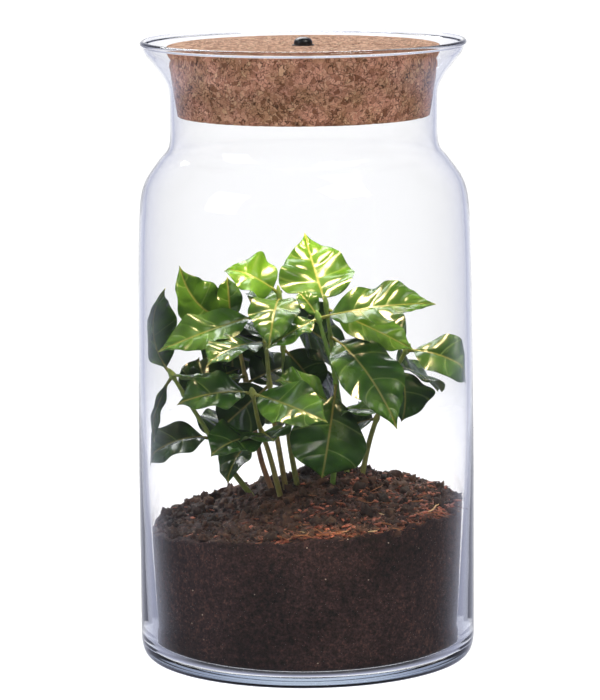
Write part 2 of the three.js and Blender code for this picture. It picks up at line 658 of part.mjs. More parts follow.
function lampHousingGeometry() {
  const boardStep = BOARD_TOP + FIT;
  const profile = [
    [LAMP_SEAT_RADIUS, LENS_BOTTOM],
    [LAMP_RADIUS, LENS_BOTTOM],
    [LAMP_RADIUS, RECESS_TOP - FIT],
    [BARREL_RADIUS + FIT, RECESS_TOP - FIT],
    [BARREL_RADIUS + FIT, ROOF_BOTTOM],
    [LAMP_SEAT_RADIUS - BOARD_LEDGE, ROOF_BOTTOM],
    [LAMP_SEAT_RADIUS - BOARD_LEDGE, boardStep],
    [LAMP_SEAT_RADIUS, boardStep],
    [LAMP_SEAT_RADIUS, LENS_BOTTOM],
  ];
  return turned(profile, LAMP_SIDES);
}

function lampLensGeometry() {
  const radius = LAMP_SEAT_RADIUS - FIT;
  const profile = [
    [0, LENS_BOTTOM],
    [radius, LENS_BOTTOM],
    [radius, LENS_BOTTOM + LENS_RING],
    [radius - LENS_RING_WIDTH, LENS_BOTTOM + LENS_RING],
    [radius - LENS_RING_WIDTH, LENS_BOTTOM + LENS_THICKNESS],
    [0, LENS_BOTTOM + LENS_THICKNESS],
  ];
  return turned(profile, LAMP_SIDES);
}

function ledBoardGeometry() {
  const pieces = [solidOf(disc(LAMP_SEAT_RADIUS - FIT, BOARD_BOTTOM, BOARD_TOP, LAMP_SIDES))];
  for (let k = 0; k < LED_COUNT; k += 1) {
    const turn = (Math.PI * 2 * k) / LED_COUNT;
    const chip = new THREE.BoxGeometry(LED_SIZE, LED_SIZE, LED_THICKNESS * 2);
    chip.rotateZ(turn);
    chip.translate(LED_RING_RADIUS * Math.cos(turn), LED_RING_RADIUS * Math.sin(turn), BOARD_BOTTOM);
    pieces.push(solidOf(chip));
  }
  return geometryOf(joined(pieces));
}

function cellGeometry() {
  const bottom = BOARD_TOP + FIT;
  const top = bottom + CELL_HEIGHT;
  const profile = [
    [0, bottom],
    [CELL_RADIUS - CELL_CAN_ROUND, bottom],
    [CELL_RADIUS, bottom + CELL_CAN_ROUND],
    [CELL_RADIUS, top],
    [0, top],
  ];
  return turned(profile, CELL_SIDES);
}

// Materials and the assembled object

const terrarium = new THREE.Group();

function addPiece(name, geometry, color, roughness, metalness = 0) {
  const material = new THREE.MeshStandardMaterial({ color, roughness, metalness });
  const mesh = new THREE.Mesh(geometry, material);
  mesh.name = name;
  terrarium.add(mesh);
  return mesh;
}

const glass = addPiece('glass_jar', jarGeometry(), 0xdfe6ea, 0.03);
glass.material.transparent = true;
glass.material.opacity = 0.25;

addPiece('potting_soil', soilGeometry(), 0x2e1c14, 0.95);
SEEDLINGS.forEach((seedling, i) => {
  addPiece(`seedling_${i + 1}`, seedlingGeometry(seedling, i), 0x3d7a22, 0.35);
});
addPiece('cork_stopper', corkGeometry(), 0xb98a5e, 0.85);
addPiece('switch_body', switchBodyGeometry(), 0x16161a, 0.35);
addPiece('switch_nut', switchNutGeometry(), 0xb9bcc0, 0.3, 1);
addPiece('button_cap', buttonCapGeometry(), 0x0c0c10, 0.25);
addPiece('lamp_housing', lampHousingGeometry(), 0xe8e8e6, 0.5);
addPiece('led_board', ledBoardGeometry(), 0xf1f1ec, 0.6);
addPiece('lamp_lens', lampLensGeometry(), 0xf7f7f2, 0.4);
for (let k = 0; k < CELL_COUNT; k += 1) {
  const turn = (Math.PI * 2 * (k + 0.25)) / CELL_COUNT;
  const cell = addPiece(`battery_cell_${k + 1}`, cellGeometry(), 0xc4c6c8, 0.25, 1);
  cell.position.set(CELL_RING_RADIUS * Math.cos(turn), CELL_RING_RADIUS * Math.sin(turn), 0);
}

export default terrarium;
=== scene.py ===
import json
import math

import bmesh
import bpy
import numpy as np
from mathutils import Matrix, Vector, noise

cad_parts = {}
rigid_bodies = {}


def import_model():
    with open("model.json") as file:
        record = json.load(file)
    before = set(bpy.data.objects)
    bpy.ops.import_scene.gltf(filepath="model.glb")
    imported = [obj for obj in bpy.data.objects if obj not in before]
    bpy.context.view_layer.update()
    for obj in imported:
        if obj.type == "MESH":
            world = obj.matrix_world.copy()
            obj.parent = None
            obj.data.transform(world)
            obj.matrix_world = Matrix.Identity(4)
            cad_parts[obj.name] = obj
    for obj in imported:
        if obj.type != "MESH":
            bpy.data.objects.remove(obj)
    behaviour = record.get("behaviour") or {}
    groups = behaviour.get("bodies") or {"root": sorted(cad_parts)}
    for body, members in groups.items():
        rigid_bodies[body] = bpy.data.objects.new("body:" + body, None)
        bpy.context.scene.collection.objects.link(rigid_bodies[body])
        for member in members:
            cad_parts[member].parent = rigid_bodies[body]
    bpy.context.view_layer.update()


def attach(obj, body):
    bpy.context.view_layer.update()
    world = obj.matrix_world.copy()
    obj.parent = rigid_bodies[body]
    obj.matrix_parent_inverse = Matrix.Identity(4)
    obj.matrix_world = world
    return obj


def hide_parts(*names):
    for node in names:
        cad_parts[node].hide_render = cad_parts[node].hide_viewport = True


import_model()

# Studio: a round pale floor whose rim fades into a plain backdrop. The backdrop is white behind
# the jar and a cooler, darker grey to its sides and in front, which is what draws the edges of
# clear glass. The soft lights hang above the jar's mouth, so its upright wall doesn't mirror them.
MM = 0.001
EYE = Vector((0.0, -2.010, 0.486))
AIM = Vector((-0.003, 0.0, 0.165))
EYE_ROLL = math.radians(-0.47)
FOCAL_LENGTH = 195.4  # on a 36 mm sensor along the picture's long side
FLOOR_RADIUS = 900
FLOOR_FADES_FROM = 260
FLOOR_SIDES = 96
BACKDROP_STRENGTH = 1.18
BACKDROP_LIGHTS = 0.3  # the backdrop as a light is dimmer than it looks: the softboxes do the work
BACKDROP_TONES = ((80, "#a4a6b2"), (34, "#a4a7bd"), (20, "#cfd2e2"), (9, "#ffffff"))  # degrees off the view
BACKDROP_TONE_IN_FRONT, BACKDROP_TONE_OVERHEAD = "#9a9ca2", "#f4f5f8"
OVERHEAD_FROM, OVERHEAD_IN_FULL = 0.25, 0.95  # heights of a direction one long
DIM_IN_MIRROR, MIRROR_DIMS_BELOW, MIRROR_DIMMEST_AT = 0.2, 0.85, 0.3  # a strength, and cosines to the view
FLOOR_LIES_BELOW = 0.2
FLOOR_GLOW = 0.55
SOFTBOX_AIM = Vector((0, 0, 0.15))


def linear(colour, alpha=1.0):
    """The linear colour of an sRGB hex value."""
    shares = [int(colour[i:i + 2], 16) / 255 for i in (1, 3, 5)]
    return [s / 12.92 if s <= 0.04045 else ((s + 0.055) / 1.055) ** 2.4 for s in shares] + [alpha]


def add(tree, kind, inputs=None, **settings):
    """Adds a node, sets its properties, and links or sets its inputs."""
    made = tree.nodes.new(kind)
    for name, value in settings.items():
        setattr(made, name, value)
    for key, value in (inputs or {}).items():
        if isinstance(value, bpy.types.NodeSocket):
            tree.links.new(value, made.inputs[key])
        else:
            made.inputs[key].default_value = value
    return made


def new_material(name):
    """An empty material, its tree, and the place of each point in metres."""
    material = bpy.data.materials.new(name)
    material.use_nodes = True
    tree = material.node_tree
    tree.nodes.clear()
    return material, tree, add(tree, "ShaderNodeTexCoord").outputs["Object"]


def placed(name, held):
    """An object in the scene that holds a mesh, a light or a camera."""
    thing = bpy.data.objects.new(name, held)
    bpy.context.scene.collection.objects.link(thing)
    return thing


def new_object(name, vertices, faces, material, smooth_below=None):
    """An object from points in millimetres, with edges left sharp where they bend past smooth_below."""
    mesh = bpy.data.meshes.new(name)
    mesh.from_pydata((np.asarray(vertices, float) * MM).tolist(), [], faces)
    mesh.shade_smooth()
    if smooth_below:
        mesh.set_sharp_from_angle(angle=math.radians(smooth_below))
    mesh.materials.append(material)
    return placed(name, mesh)


camera = placed("camera", bpy.data.cameras.new("camera"))
camera.data.sensor_fit = "VERTICAL"
camera.data.sensor_height = 36
camera.data.lens = FOCAL_LENGTH
camera.data.clip_end = 50
ahead = (AIM - EYE).normalized()
level = ahead.cross(Vector((0, 0, 1))).normalized()
upright = level.cross(ahead)
right = level * math.cos(EYE_ROLL) + upright * math.sin(EYE_ROLL)
upright = right.cross(ahead)
camera.matrix_world = Matrix((right, upright, -ahead)).transposed().to_4x4()
camera.location = EYE
bpy.context.scene.camera = camera
bpy.context.scene.view_settings.view_transform = "Standard"

world = bpy.data.worlds.new("studio_backdrop")
world.use_nodes = True
bpy.context.scene.world = world
tree = world.node_tree
tree.nodes.clear()
way = add(tree, "ShaderNodeTexCoord").outputs["Generated"]
behind = add(tree, "ShaderNodeVectorMath", {0: way, 1: ahead}, operation="DOT_PRODUCT")
share = add(tree, "ShaderNodeMapRange", {"Value": behind.outputs["Value"], "From Min": -1.0})
ramp = add(tree, "ShaderNodeValToRGB", {"Fac": share.outputs["Result"]})
ramp.color_ramp.elements.remove(ramp.color_ramp.elements[1])
ramp.color_ramp.elements[0].color = linear(BACKDROP_TONE_IN_FRONT)
for degrees, colour in BACKDROP_TONES:
    stop = ramp.color_ramp.elements.new((1 + math.cos(math.radians(degrees))) / 2)
    stop.color = linear(colour)
height = add(tree, "ShaderNodeSeparateXYZ", {"Vector": way})
overhead = add(tree, "ShaderNodeMapRange", {"Value": height.outputs["Z"], "From Min": OVERHEAD_FROM,
                                            "From Max": OVERHEAD_IN_FULL})
sky = add(tree, "ShaderNodeMix", {0: overhead.outputs["Result"], 6: ramp.outputs["Color"],
                                  7: linear(BACKDROP_TONE_OVERHEAD)}, data_type="RGBA")
lit = add(tree, "ShaderNodeLightPath")
mirrored_once = add(tree, "ShaderNodeMath", {0: lit.outputs["Glossy Depth"], 1: 1.0, 2: 0.5},
                    operation="COMPARE")
in_mirror = add(tree, "ShaderNodeMapRange", {
    "Value": behind.outputs["Value"], "From Min": MIRROR_DIMMEST_AT, "From Max": MIRROR_DIMS_BELOW,
    "To Min": DIM_IN_MIRROR, "To Max": BACKDROP_STRENGTH})
looked_at = add(tree, "ShaderNodeMix", {0: mirrored_once.outputs[0], 2: BACKDROP_STRENGTH,
                                        3: in_mirror.outputs[0]})
strength = add(tree, "ShaderNodeMix", {0: lit.outputs["Is Diffuse Ray"], 2: looked_at.outputs[0],
                                       3: BACKDROP_LIGHTS})
glow = add(tree, "ShaderNodeBackground", {"Color": sky.outputs[2], "Strength": strength.outputs[0]})
add(tree, "ShaderNodeOutputWorld", {"Surface": glow.outputs["Background"]})

# Painted board, matt white: it shows the jar's soft shadow, and isn't mirrored in the glass
floor_paint, tree, place = new_material("matt_white_paint")
from_jar = add(tree, "ShaderNodeVectorMath", {0: place}, operation="LENGTH")
fade = add(tree, "ShaderNodeMapRange", {"Value": from_jar.outputs["Value"], "From Min": FLOOR_FADES_FROM * MM,
                                        "From Max": FLOOR_RADIUS * MM}, interpolation_type="SMOOTHSTEP")
paint = add(tree, "ShaderNodeBsdfPrincipled", {
    "Base Color": linear("#f7f7f8"), "Roughness": 0.9, "Emission Color": linear("#fbfbff"),
    "Emission Strength": FLOOR_GLOW})
clear = add(tree, "ShaderNodeBsdfTransparent")
lit = add(tree, "ShaderNodeLightPath")
mirrored_once = add(tree, "ShaderNodeMath", {0: lit.outputs["Glossy Depth"], 1: 1.0, 2: 0.5},
                    operation="COMPARE")
unseen = add(tree, "ShaderNodeMath", {0: fade.outputs["Result"], 1: mirrored_once.outputs[0]},
             operation="MAXIMUM")
faded = add(tree, "ShaderNodeMixShader", {0: unseen.outputs[0], 1: paint.outputs[0], 2: clear.outputs[0]})
add(tree, "ShaderNodeOutputMaterial", {"Surface": faded.outputs[0]})
turns = [2 * math.pi * k / FLOOR_SIDES for k in range(FLOOR_SIDES)]
rim = [(FLOOR_RADIUS * math.cos(t), FLOOR_RADIUS * math.sin(t), -FLOOR_LIES_BELOW) for t in turns]
floor = new_object("floor", rim, [tuple(range(FLOOR_SIDES))], floor_paint)

SOFTBOXES = (  # name, place in metres, side lengths, watts, colour
    ("key", (0.9, -1.1, 1.9), (1.0, 0.8), 20, "#fffaf2"),
    ("fill", (-1.6, -0.9, 1.1), (0.9, 1.2), 9, "#f1f5ff"),
    ("back", (-0.5, 1.3, 1.5), (1.6, 0.7), 30, "#ffffff"),
)
for name, position, sides, watts, colour in SOFTBOXES:
    light = bpy.data.lights.new(f"softbox_{name}", "AREA")
    light.shape = "RECTANGLE"
    light.size, light.size_y = sides
    light.energy = watts
    light.color = linear(colour)[:3]
    softbox = placed(light.name, light)
    softbox.location = position
    softbox.rotation_euler = (SOFTBOX_AIM - softbox.location).to_track_quat("-Z", "Y").to_euler()

# Glass jar: one blown piece of clear soda-lime glass, thick in the foot and thinning towards the
# neck, with a wide flared mouth that was cut and fire-polished to a round bead. It stands on a
# flat ring round a slight push-up.
JAR_HEIGHT = 331.5
BODY_RADIUS = 90.2
BODY_NARROWS_FROM, BODY_TAPER_CURVE = 100, 1.9
SHOULDER_START, SHOULDER_START_RADIUS = 235, 88.2
SHOULDER = ((85.6, 254.4), (77.6, 267.3), (72.5, 273.7))  # radius and height along it
NECK_RADIUS, NECK_FROM, NECK_MIDDLE, NECK_UP_TO = 71.1, 281, 290, 298
FLARE = ((71.6, 305.6), (74.7, 312.2), (79.9, 319.2), (83.9, 324.5))
LIP_INSET, LIP_HEIGHT = 1.1, 328.4
RIM_RADIUS, RIM_BEAD_RADIUS, BEAD_BLENDS_OVER = 86.5, 1.5, 0.3
FOOT_RADIUS, FOOT_RING_WIDTH, FOOT_RING_BEVEL, FOOT_PUSH_UP = 83.5, 12, 8, 2.4
HEEL_HEIGHT, HEEL_SPREAD = 8, 4.2
BASE_THICKNESS, INNER_HEEL_RADIUS = 5.5, 7.5
FOOT_WALL, BODY_WALL, NECK_WALL = 8.0, 3.0, 2.1
FOOT_WALL_UP_TO, BODY_WALL_FROM, BODY_WALL_UP_TO, NECK_WALL_FROM = 20, 150, 235, 285
FOOT_WALL_CURVE = 1.6
JAR_SIDES = 192


def outer_radius_at(z):
    """Outside radius of the straight part, below the shoulder."""
    share = np.maximum(0, (z - BODY_NARROWS_FROM) / (SHOULDER_START - BODY_NARROWS_FROM))
    return BODY_RADIUS - (BODY_RADIUS - SHOULDER_START_RADIUS) * share ** BODY_TAPER_CURVE


def smoothstep(x, low, high):
    """Nought below low, one above high, and an even S between them."""
    t = np.clip((x - low) / (high - low), 0, 1)
    return t * t * (3 - 2 * t)


def wall_at(z):
    """Thickness of the wall at a height."""
    low = np.clip((BODY_WALL_FROM - z) / (BODY_WALL_FROM - FOOT_WALL_UP_TO), 0, 1) ** FOOT_WALL_CURVE
    lower = BODY_WALL + (FOOT_WALL - BODY_WALL) * low
    return lower + (NECK_WALL - lower) * smoothstep(z, BODY_WALL_UP_TO, NECK_WALL_FROM)


def inner_radius_at(z):
    """Inside radius of the straight part, below the shoulder."""
    return outer_radius_at(z) - wall_at(z)


def bezier(points, t):
    """Points at the shares t of a cubic curve."""
    a, b, c, d = (np.asarray(p, float) for p in points)
    t = np.asarray(t, float).reshape(-1, 1)
    return a * (1 - t) ** 3 + 3 * b * t * (1 - t) ** 2 + 3 * c * t * t * (1 - t) + d * t ** 3


def hermite(start, end, leaving, arriving, t):
    """Points at the shares t of a curve with given ways at its two ends."""
    cubic = 2 * start - 2 * end + leaving + arriving
    square = 3 * end - 3 * start - 2 * leaving - arriving
    return cubic * t ** 3 + square * t ** 2 + leaving * t + start


def spline(points, steps):
    """A smooth curve through the points, with steps points for each stretch."""
    knots = np.array([points[0], *points, points[-1]], float)
    t = np.linspace(0, 1, steps, endpoint=False).reshape(-1, 1)
    stretches = []
    for p0, p1, p2, p3 in zip(knots, knots[1:], knots[2:], knots[3:]):
        v1, v2 = (p2 - p0) / 2, (p3 - p1) / 2
        stretches.append(hermite(p1, p2, v1, v2, t))
    return np.vstack([*stretches, knots[-1:]])


def arc(centre, radius, start, end, steps):
    """Points on a circle between two angles in degrees."""
    turn = np.radians(np.linspace(start, end, steps))
    return np.stack([centre[0] + radius * np.cos(turn), centre[1] + radius * np.sin(turn)], 1)


def turned(name, profile, sides, material, smooth_below=None):
    """A closed solid of revolution about Z. Its (radius, height) points run up the outside, and
    start and end either on the axis or at one place."""
    closed = np.allclose(profile[0], profile[-1])
    vertices, rings = [], []
    for radius, z in profile:
        if radius < 1e-6:
            rings.append([len(vertices)] * sides)
            vertices.append((0, 0, z))
            continue
        rings.append(list(range(len(vertices), len(vertices) + sides)))
        turns = [2 * math.pi * k / sides for k in range(sides)]
        vertices.extend((radius * math.cos(t), radius * math.sin(t), z) for t in turns)
    if closed:
        del vertices[rings[-1][0]:]
        rings[-1] = rings[0]
    faces = []
    for low, high in zip(rings, rings[1:]):
        for k in range(sides):
            n = (k + 1) % sides
            faces.append(tuple(dict.fromkeys((low[k], low[n], high[n], high[k]))))
    return new_object(name, vertices, faces, material, smooth_below)


heel = bezier([(FOOT_RADIUS, 0), (FOOT_RADIUS + HEEL_SPREAD, 0), (BODY_RADIUS, HEEL_HEIGHT * 0.45),
               (BODY_RADIUS, HEEL_HEIGHT * 1.6)], np.linspace(0, 1, 20))
body = spline([(BODY_RADIUS, 20), (BODY_RADIUS, 60), (BODY_RADIUS, BODY_NARROWS_FROM),
               (outer_radius_at(185), 185), (SHOULDER_START_RADIUS, SHOULDER_START), *SHOULDER,
               (NECK_RADIUS, NECK_FROM), (NECK_RADIUS, NECK_MIDDLE)], 10)
flare = spline([(NECK_RADIUS, NECK_UP_TO), *FLARE, (RIM_RADIUS - LIP_INSET, LIP_HEIGHT)], 9)
body[:, 0] = np.minimum(body[:, 0], BODY_RADIUS)
outer = np.vstack([heel, body, flare])
along = np.gradient(outer, axis=0)
along /= np.linalg.norm(along, axis=1, keepdims=True)
inner = outer + np.stack([-along[:, 1], along[:, 0]], 1) * wall_at(outer[:, 1]).reshape(-1, 1)
heel_centre = BASE_THICKNESS + INNER_HEEL_RADIUS
bead_centre = np.array((RIM_RADIUS - RIM_BEAD_RADIUS, JAR_HEIGHT - RIM_BEAD_RADIUS))
clear_of_bead = np.linalg.norm(inner - bead_centre, axis=1) > RIM_BEAD_RADIUS + BEAD_BLENDS_OVER
inner = inner[(outer[:, 1] > heel_centre) & clear_of_bead]
foot = FOOT_RADIUS - FOOT_RING_WIDTH
push_up = spline([(0, FOOT_PUSH_UP), ((foot - FOOT_RING_BEVEL) / 2, FOOT_PUSH_UP * 0.97),
                  (foot - FOOT_RING_BEVEL, FOOT_PUSH_UP * 0.8), (foot, 0)], 8)
inner_heel = arc((inner_radius_at(heel_centre) - INNER_HEEL_RADIUS, heel_centre), INNER_HEEL_RADIUS,
                 0, -90, 14)
jar_profile = np.vstack([push_up, outer, arc(bead_centre, RIM_BEAD_RADIUS, -60, 172, 16), inner[::-1],
                         inner_heel, [(0, BASE_THICKNESS)]])

# Soda-lime glass, blown and fire-polished: colourless in the thin wall, with a trace of blue-green
# where the light runs through centimetres of it, in the foot and along the edges
glass, tree, place = new_material("blown_soda_lime_glass")
ripples = add(tree, "ShaderNodeTexNoise", {"Vector": place, "Scale": 22.0, "Detail": 1.0})
waves = add(tree, "ShaderNodeBump", {"Strength": 0.12, "Distance": 0.0006, "Height": ripples.outputs[0]})
wall = add(tree, "ShaderNodeBsdfPrincipled", {
    "Base Color": linear("#fdfdfe"), "Roughness": 0.0, "IOR": 1.48, "Transmission Weight": 1.0,
    "Normal": waves.outputs[0]})
shade = add(tree, "ShaderNodeBsdfTransparent", {"Color": linear("#f6f9fb")})
lit = add(tree, "ShaderNodeLightPath")
passed = add(tree, "ShaderNodeMixShader", {0: lit.outputs["Is Shadow Ray"], 1: wall.outputs[0],
                                           2: shade.outputs[0]})
tint = add(tree, "ShaderNodeVolumeAbsorption", {"Color": linear("#66a8c0"), "Density": 3.0})
add(tree, "ShaderNodeOutputMaterial", {"Surface": passed.outputs[0], "Volume": tint.outputs[0]})

jar = turned("glass_jar_blown", jar_profile, JAR_SIDES, glass)
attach(jar, "terrarium")
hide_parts("glass_jar")

# Potting soil: a moist mix of dark peat and composted bark, poured in and pressed smooth against
# the glass. Its top is left loose, higher at the right and heaped round the stems, with crumbs,
# red-brown bark flakes and pale coir fibres lying on it.
FIT = 0.3
SOIL_LEVEL, SOIL_SLOPE, SOIL_SLOPE_BACK = 75.5, 0.072, -0.035
MOUND = {"height": 18, "x": 15, "y": 20, "reach_left": 42, "reach_right": 30, "reach_depth": 34}
SOIL_SIDES, SOIL_WALL_ROWS, SOIL_RINGS = 300, 48, 96
SOIL_TOP_MEASURED_BELOW = 12
SOIL_TOP_RADIUS = float(inner_radius_at(SOIL_LEVEL - SOIL_TOP_MEASURED_BELOW)) - FIT
CRUMB_RELIEF, EDGE_RELIEF, SMOOTH_BY_THE_GLASS = 2.5, 1.1, 2
LITTER_OFF_GLASS, CRUST_DEPTH = 1.8, 6
RIM_BAND_INSET, RIM_BAND_WIDTH = 5, 5
STRAY_LITTER, BARKY_LITTER, RIM_LITTER = 0.06, 0.7, 4.5  # shares of the numbers in LITTER


def soil_height_at(x, y):
    """Height of the soil's top before its crumb: a slope, a mound and a few soft clods."""
    reach = np.where(x < MOUND["x"], MOUND["reach_left"], MOUND["reach_right"])
    fall = ((x - MOUND["x"]) / reach) ** 2 + ((y - MOUND["y"]) / MOUND["reach_depth"]) ** 2
    clods = 0.9 * np.sin(0.19 * x + 0.8) * np.cos(0.23 * y) + 0.6 * np.sin(0.37 * x + 0.29 * y)
    return SOIL_LEVEL + SOIL_SLOPE * x + SOIL_SLOPE_BACK * y + MOUND["height"] * np.exp(-fall / 2) + clods


def crumbly(x, y, z=0.0):
    """Height of the loose crumb at a place, from about minus one to one."""
    coarse = noise.fractal(Vector((x, y, z)) / 7.0, 1.0, 2.2, 3)
    fine = noise.noise(Vector((x, y, z)) / 2.1)
    return 0.75 * coarse + 0.45 * fine


# Peat and bark, packed moist: near black, matt, with rust-brown patches and pale grit specks
soil_mix, tree, place = new_material("moist_peat_and_bark")
patches = add(tree, "ShaderNodeTexNoise", {"Vector": place, "Scale": 420.0, "Detail": 5.0, "Roughness": 0.7})
earth = add(tree, "ShaderNodeValToRGB", {"Fac": patches.outputs[0]})
for stop, position, colour in ((0, 0.34, "#1b1312"), (1, 0.74, "#51332c")):
    earth.color_ramp.elements[stop].position = position
    earth.color_ramp.elements[stop].color = linear(colour)
earth.color_ramp.elements.new(0.54).color = linear("#31211e")
crumbs = add(tree, "ShaderNodeTexVoronoi", {"Vector": place, "Scale": 1250.0})
crumb_tone = add(tree, "ShaderNodeSeparateColor", {0: crumbs.outputs["Color"]})
grain = add(tree, "ShaderNodeMapRange", {"Value": crumb_tone.outputs["Red"], "To Min": 0.55, "To Max": 1.5})
damp = add(tree, "ShaderNodeTexNoise", {"Vector": place, "Scale": 24.0, "Detail": 2.0})
dryness = add(tree, "ShaderNodeMapRange", {"Value": damp.outputs[0], "From Min": 0.36, "From Max": 0.64,
                                           "To Min": 0.72, "To Max": 1.4})
dry_grain = add(tree, "ShaderNodeMath", {0: grain.outputs[0], 1: dryness.outputs[0]}, operation="MULTIPLY")
grained = add(tree, "ShaderNodeMix", {0: 1.0, 6: earth.outputs[0], 7: dry_grain.outputs[0]},
              data_type="RGBA", blend_type="MULTIPLY")
grit = add(tree, "ShaderNodeTexVoronoi", {"Vector": place, "Scale": 190.0, "Randomness": 1.0})
speck = add(tree, "ShaderNodeMapRange", {"Value": grit.outputs["Distance"], "From Min": 0.09,
                                         "From Max": 0.05})
rare = add(tree, "ShaderNodeSeparateColor", {0: grit.outputs["Color"]})
chosen = add(tree, "ShaderNodeMath", {0: rare.outputs["Red"], 1: 0.72}, operation="GREATER_THAN")
pale = add(tree, "ShaderNodeMath", {0: speck.outputs[0], 1: chosen.outputs[0]}, operation="MULTIPLY")
speckled = add(tree, "ShaderNodeMix", {0: pale.outputs[0], 6: grained.outputs[2], 7: linear("#b59a86")},
               data_type="RGBA")
tooth = add(tree, "ShaderNodeBump", {"Strength": 0.3, "Distance": 0.0004,
                                     "Height": crumbs.outputs["Distance"]})
soil_face = add(tree, "ShaderNodeBsdfPrincipled", {"Base Color": speckled.outputs[2], "Roughness": 0.82,
                                                   "Specular IOR Level": 0.3, "Normal": tooth.outputs[0]})
add(tree, "ShaderNodeOutputMaterial", {"Surface": soil_face.outputs[0]})

soil_floor = BASE_THICKNESS + FIT
soil_heel = float(inner_radius_at(soil_floor + INNER_HEEL_RADIUS)) - FIT
turns = np.linspace(0, 2 * math.pi, SOIL_SIDES, endpoint=False)
cosines, sines = np.cos(turns), np.sin(turns)
levels = [(r, np.full(SOIL_SIDES, z)) for r, z in
          arc((soil_heel - INNER_HEEL_RADIUS, soil_floor + INNER_HEEL_RADIUS), INNER_HEEL_RADIUS, -90, 0, 8)]
edge_x, edge_y = SOIL_TOP_RADIUS * cosines, SOIL_TOP_RADIUS * sines
edge = soil_height_at(edge_x, edge_y)
edge += [EDGE_RELIEF * crumbly(x, y, 50) for x, y in zip(edge_x, edge_y)]
for row in range(1, SOIL_WALL_ROWS + 1):
    share = row / SOIL_WALL_ROWS
    low = soil_floor + INNER_HEEL_RADIUS
    levels.append((soil_heel + (SOIL_TOP_RADIUS - soil_heel) * share, low + (edge - low) * share))
vertices = [(0, 0, soil_floor)]
for ring, heights in levels:
    vertices += zip(ring * cosines, ring * sines, heights)
for step in range(1, SOIL_RINGS):
    ring = SOIL_TOP_RADIUS * (1 - step / SOIL_RINGS)
    x, y = ring * cosines, ring * sines
    relief = CRUMB_RELIEF * np.array([crumbly(a, b) for a, b in zip(x, y)])
    off_glass = smoothstep(SOIL_TOP_RADIUS - ring, 0, SMOOTH_BY_THE_GLASS)
    pressed = (edge - soil_height_at(edge_x, edge_y)) * (1 - off_glass)
    heights = soil_height_at(x, y) + relief * off_glass + pressed
    vertices += zip(x, y, heights)
vertices.append((0, 0, float(soil_height_at(0, 0)) + CRUMB_RELIEF * crumbly(0, 0)))
rings = (len(vertices) - 2) // SOIL_SIDES
faces = []
for k in range(SOIL_SIDES):
    n = (k + 1) % SOIL_SIDES
    faces.append((0, 1 + n, 1 + k))
    for ring in range(rings - 1):
        a, b = 1 + ring * SOIL_SIDES, 1 + (ring + 1) * SOIL_SIDES
        faces.append((a + k, a + n, b + n, b + k))
    last = 1 + (rings - 1) * SOIL_SIDES
    faces.append((last + k, last + n, len(vertices) - 1))
soil = new_object("potting_soil_bed", vertices, faces, soil_mix)

# Where loose matter lies: crumb all over the top, bark mostly at the front right, and most of all in
# a band along the glass there
x, y, z = np.array(vertices).T
reach = np.hypot(x, y)
on_top = (reach < SOIL_TOP_RADIUS - LITTER_OFF_GLASS) & (z > soil_height_at(x, y) - CRUST_DEPTH)
by_the_glass = np.exp(-((reach - SOIL_TOP_RADIUS + RIM_BAND_INSET) / RIM_BAND_WIDTH) ** 2)
rim_band = by_the_glass * smoothstep(-y + 0.25 * x, 20, 75) * smoothstep(x, -40, -5)
barky = smoothstep(x - 0.5 * y, -10, 45)
litter_share = STRAY_LITTER + BARKY_LITTER * barky + RIM_LITTER * rim_band
for name, values in (("loose", on_top), ("litter", on_top * litter_share)):
    soil.data.attributes.new(name, "FLOAT", "POINT").data.foreach_set("value", values.astype(float))
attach(soil, "terrarium")
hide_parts("potting_soil")


# What lies loose on the soil: crumbs and clods of the same mix, flakes of composted bark, coir
# fibres and a few dry straws. One node tree strews each kind over the top of the bed.
LITTER = {  # pieces in a square metre, smallest and largest scale, tilt in degrees, attribute, seed
    "soil_crumbs": (90000, 0.45, 1.5, 180, "loose", 3),
    "soil_clods": (11000, 0.5, 1.6, 180, "loose", 11),
    "bark_flakes": (85000, 0.4, 1.2, 28, "litter", 5),
    "coir_fibres": (16000, 0.5, 1.3, 14, "litter", 8),
    "dry_straws": (700, 0.6, 1.0, 16, "litter", 21),
}


def lump(seed, sizes, detail, roughness):
    """A crumb: a ball with its points moved in and out, drawn to its sizes along X, Y and Z."""
    shape = bmesh.new()
    bmesh.ops.create_icosphere(shape, subdivisions=detail, radius=0.5)
    for vertex in shape.verts:
        swell = 1 + roughness * noise.noise(vertex.co * 3 + Vector((seed * 3.7, 0, 0)))
        vertex.co = Vector([a * swell * b for a, b in zip(vertex.co, sizes)])
    vertices = [tuple(v.co) for v in shape.verts]
    faces = [tuple(v.index for v in f.verts) for f in shape.faces]
    shape.free()
    return vertices, faces


def tube(points, radii, sides):
    """A closed round rod through the points, with its own radius at each."""
    points = np.asarray(points, float)
    ways = np.gradient(points, axis=0)
    ways /= np.linalg.norm(ways, axis=1, keepdims=True)
    side = np.cross(ways[0], (0.3, 0.2, 0.93) if abs(ways[0][2]) < 0.9 else (1, 0, 0))
    turns = np.arange(sides) * 2 * math.pi / sides
    vertices, faces = [], []
    for point, way, radius in zip(points, ways, radii):
        side = side - way * side.dot(way)
        side /= np.linalg.norm(side)
        other = np.cross(way, side)
        vertices += [tuple(point + radius * (math.cos(t) * side + math.sin(t) * other)) for t in turns]
    for ring in range(len(points) - 1):
        for k in range(sides):
            a, b = ring * sides + k, ring * sides + (k + 1) % sides
            faces.append((a, b, b + sides, a + sides))
    last = (len(points) - 1) * sides
    faces.append(tuple(range(sides - 1, -1, -1)))
    faces.append(tuple(range(last, last + sides)))
    return vertices, faces


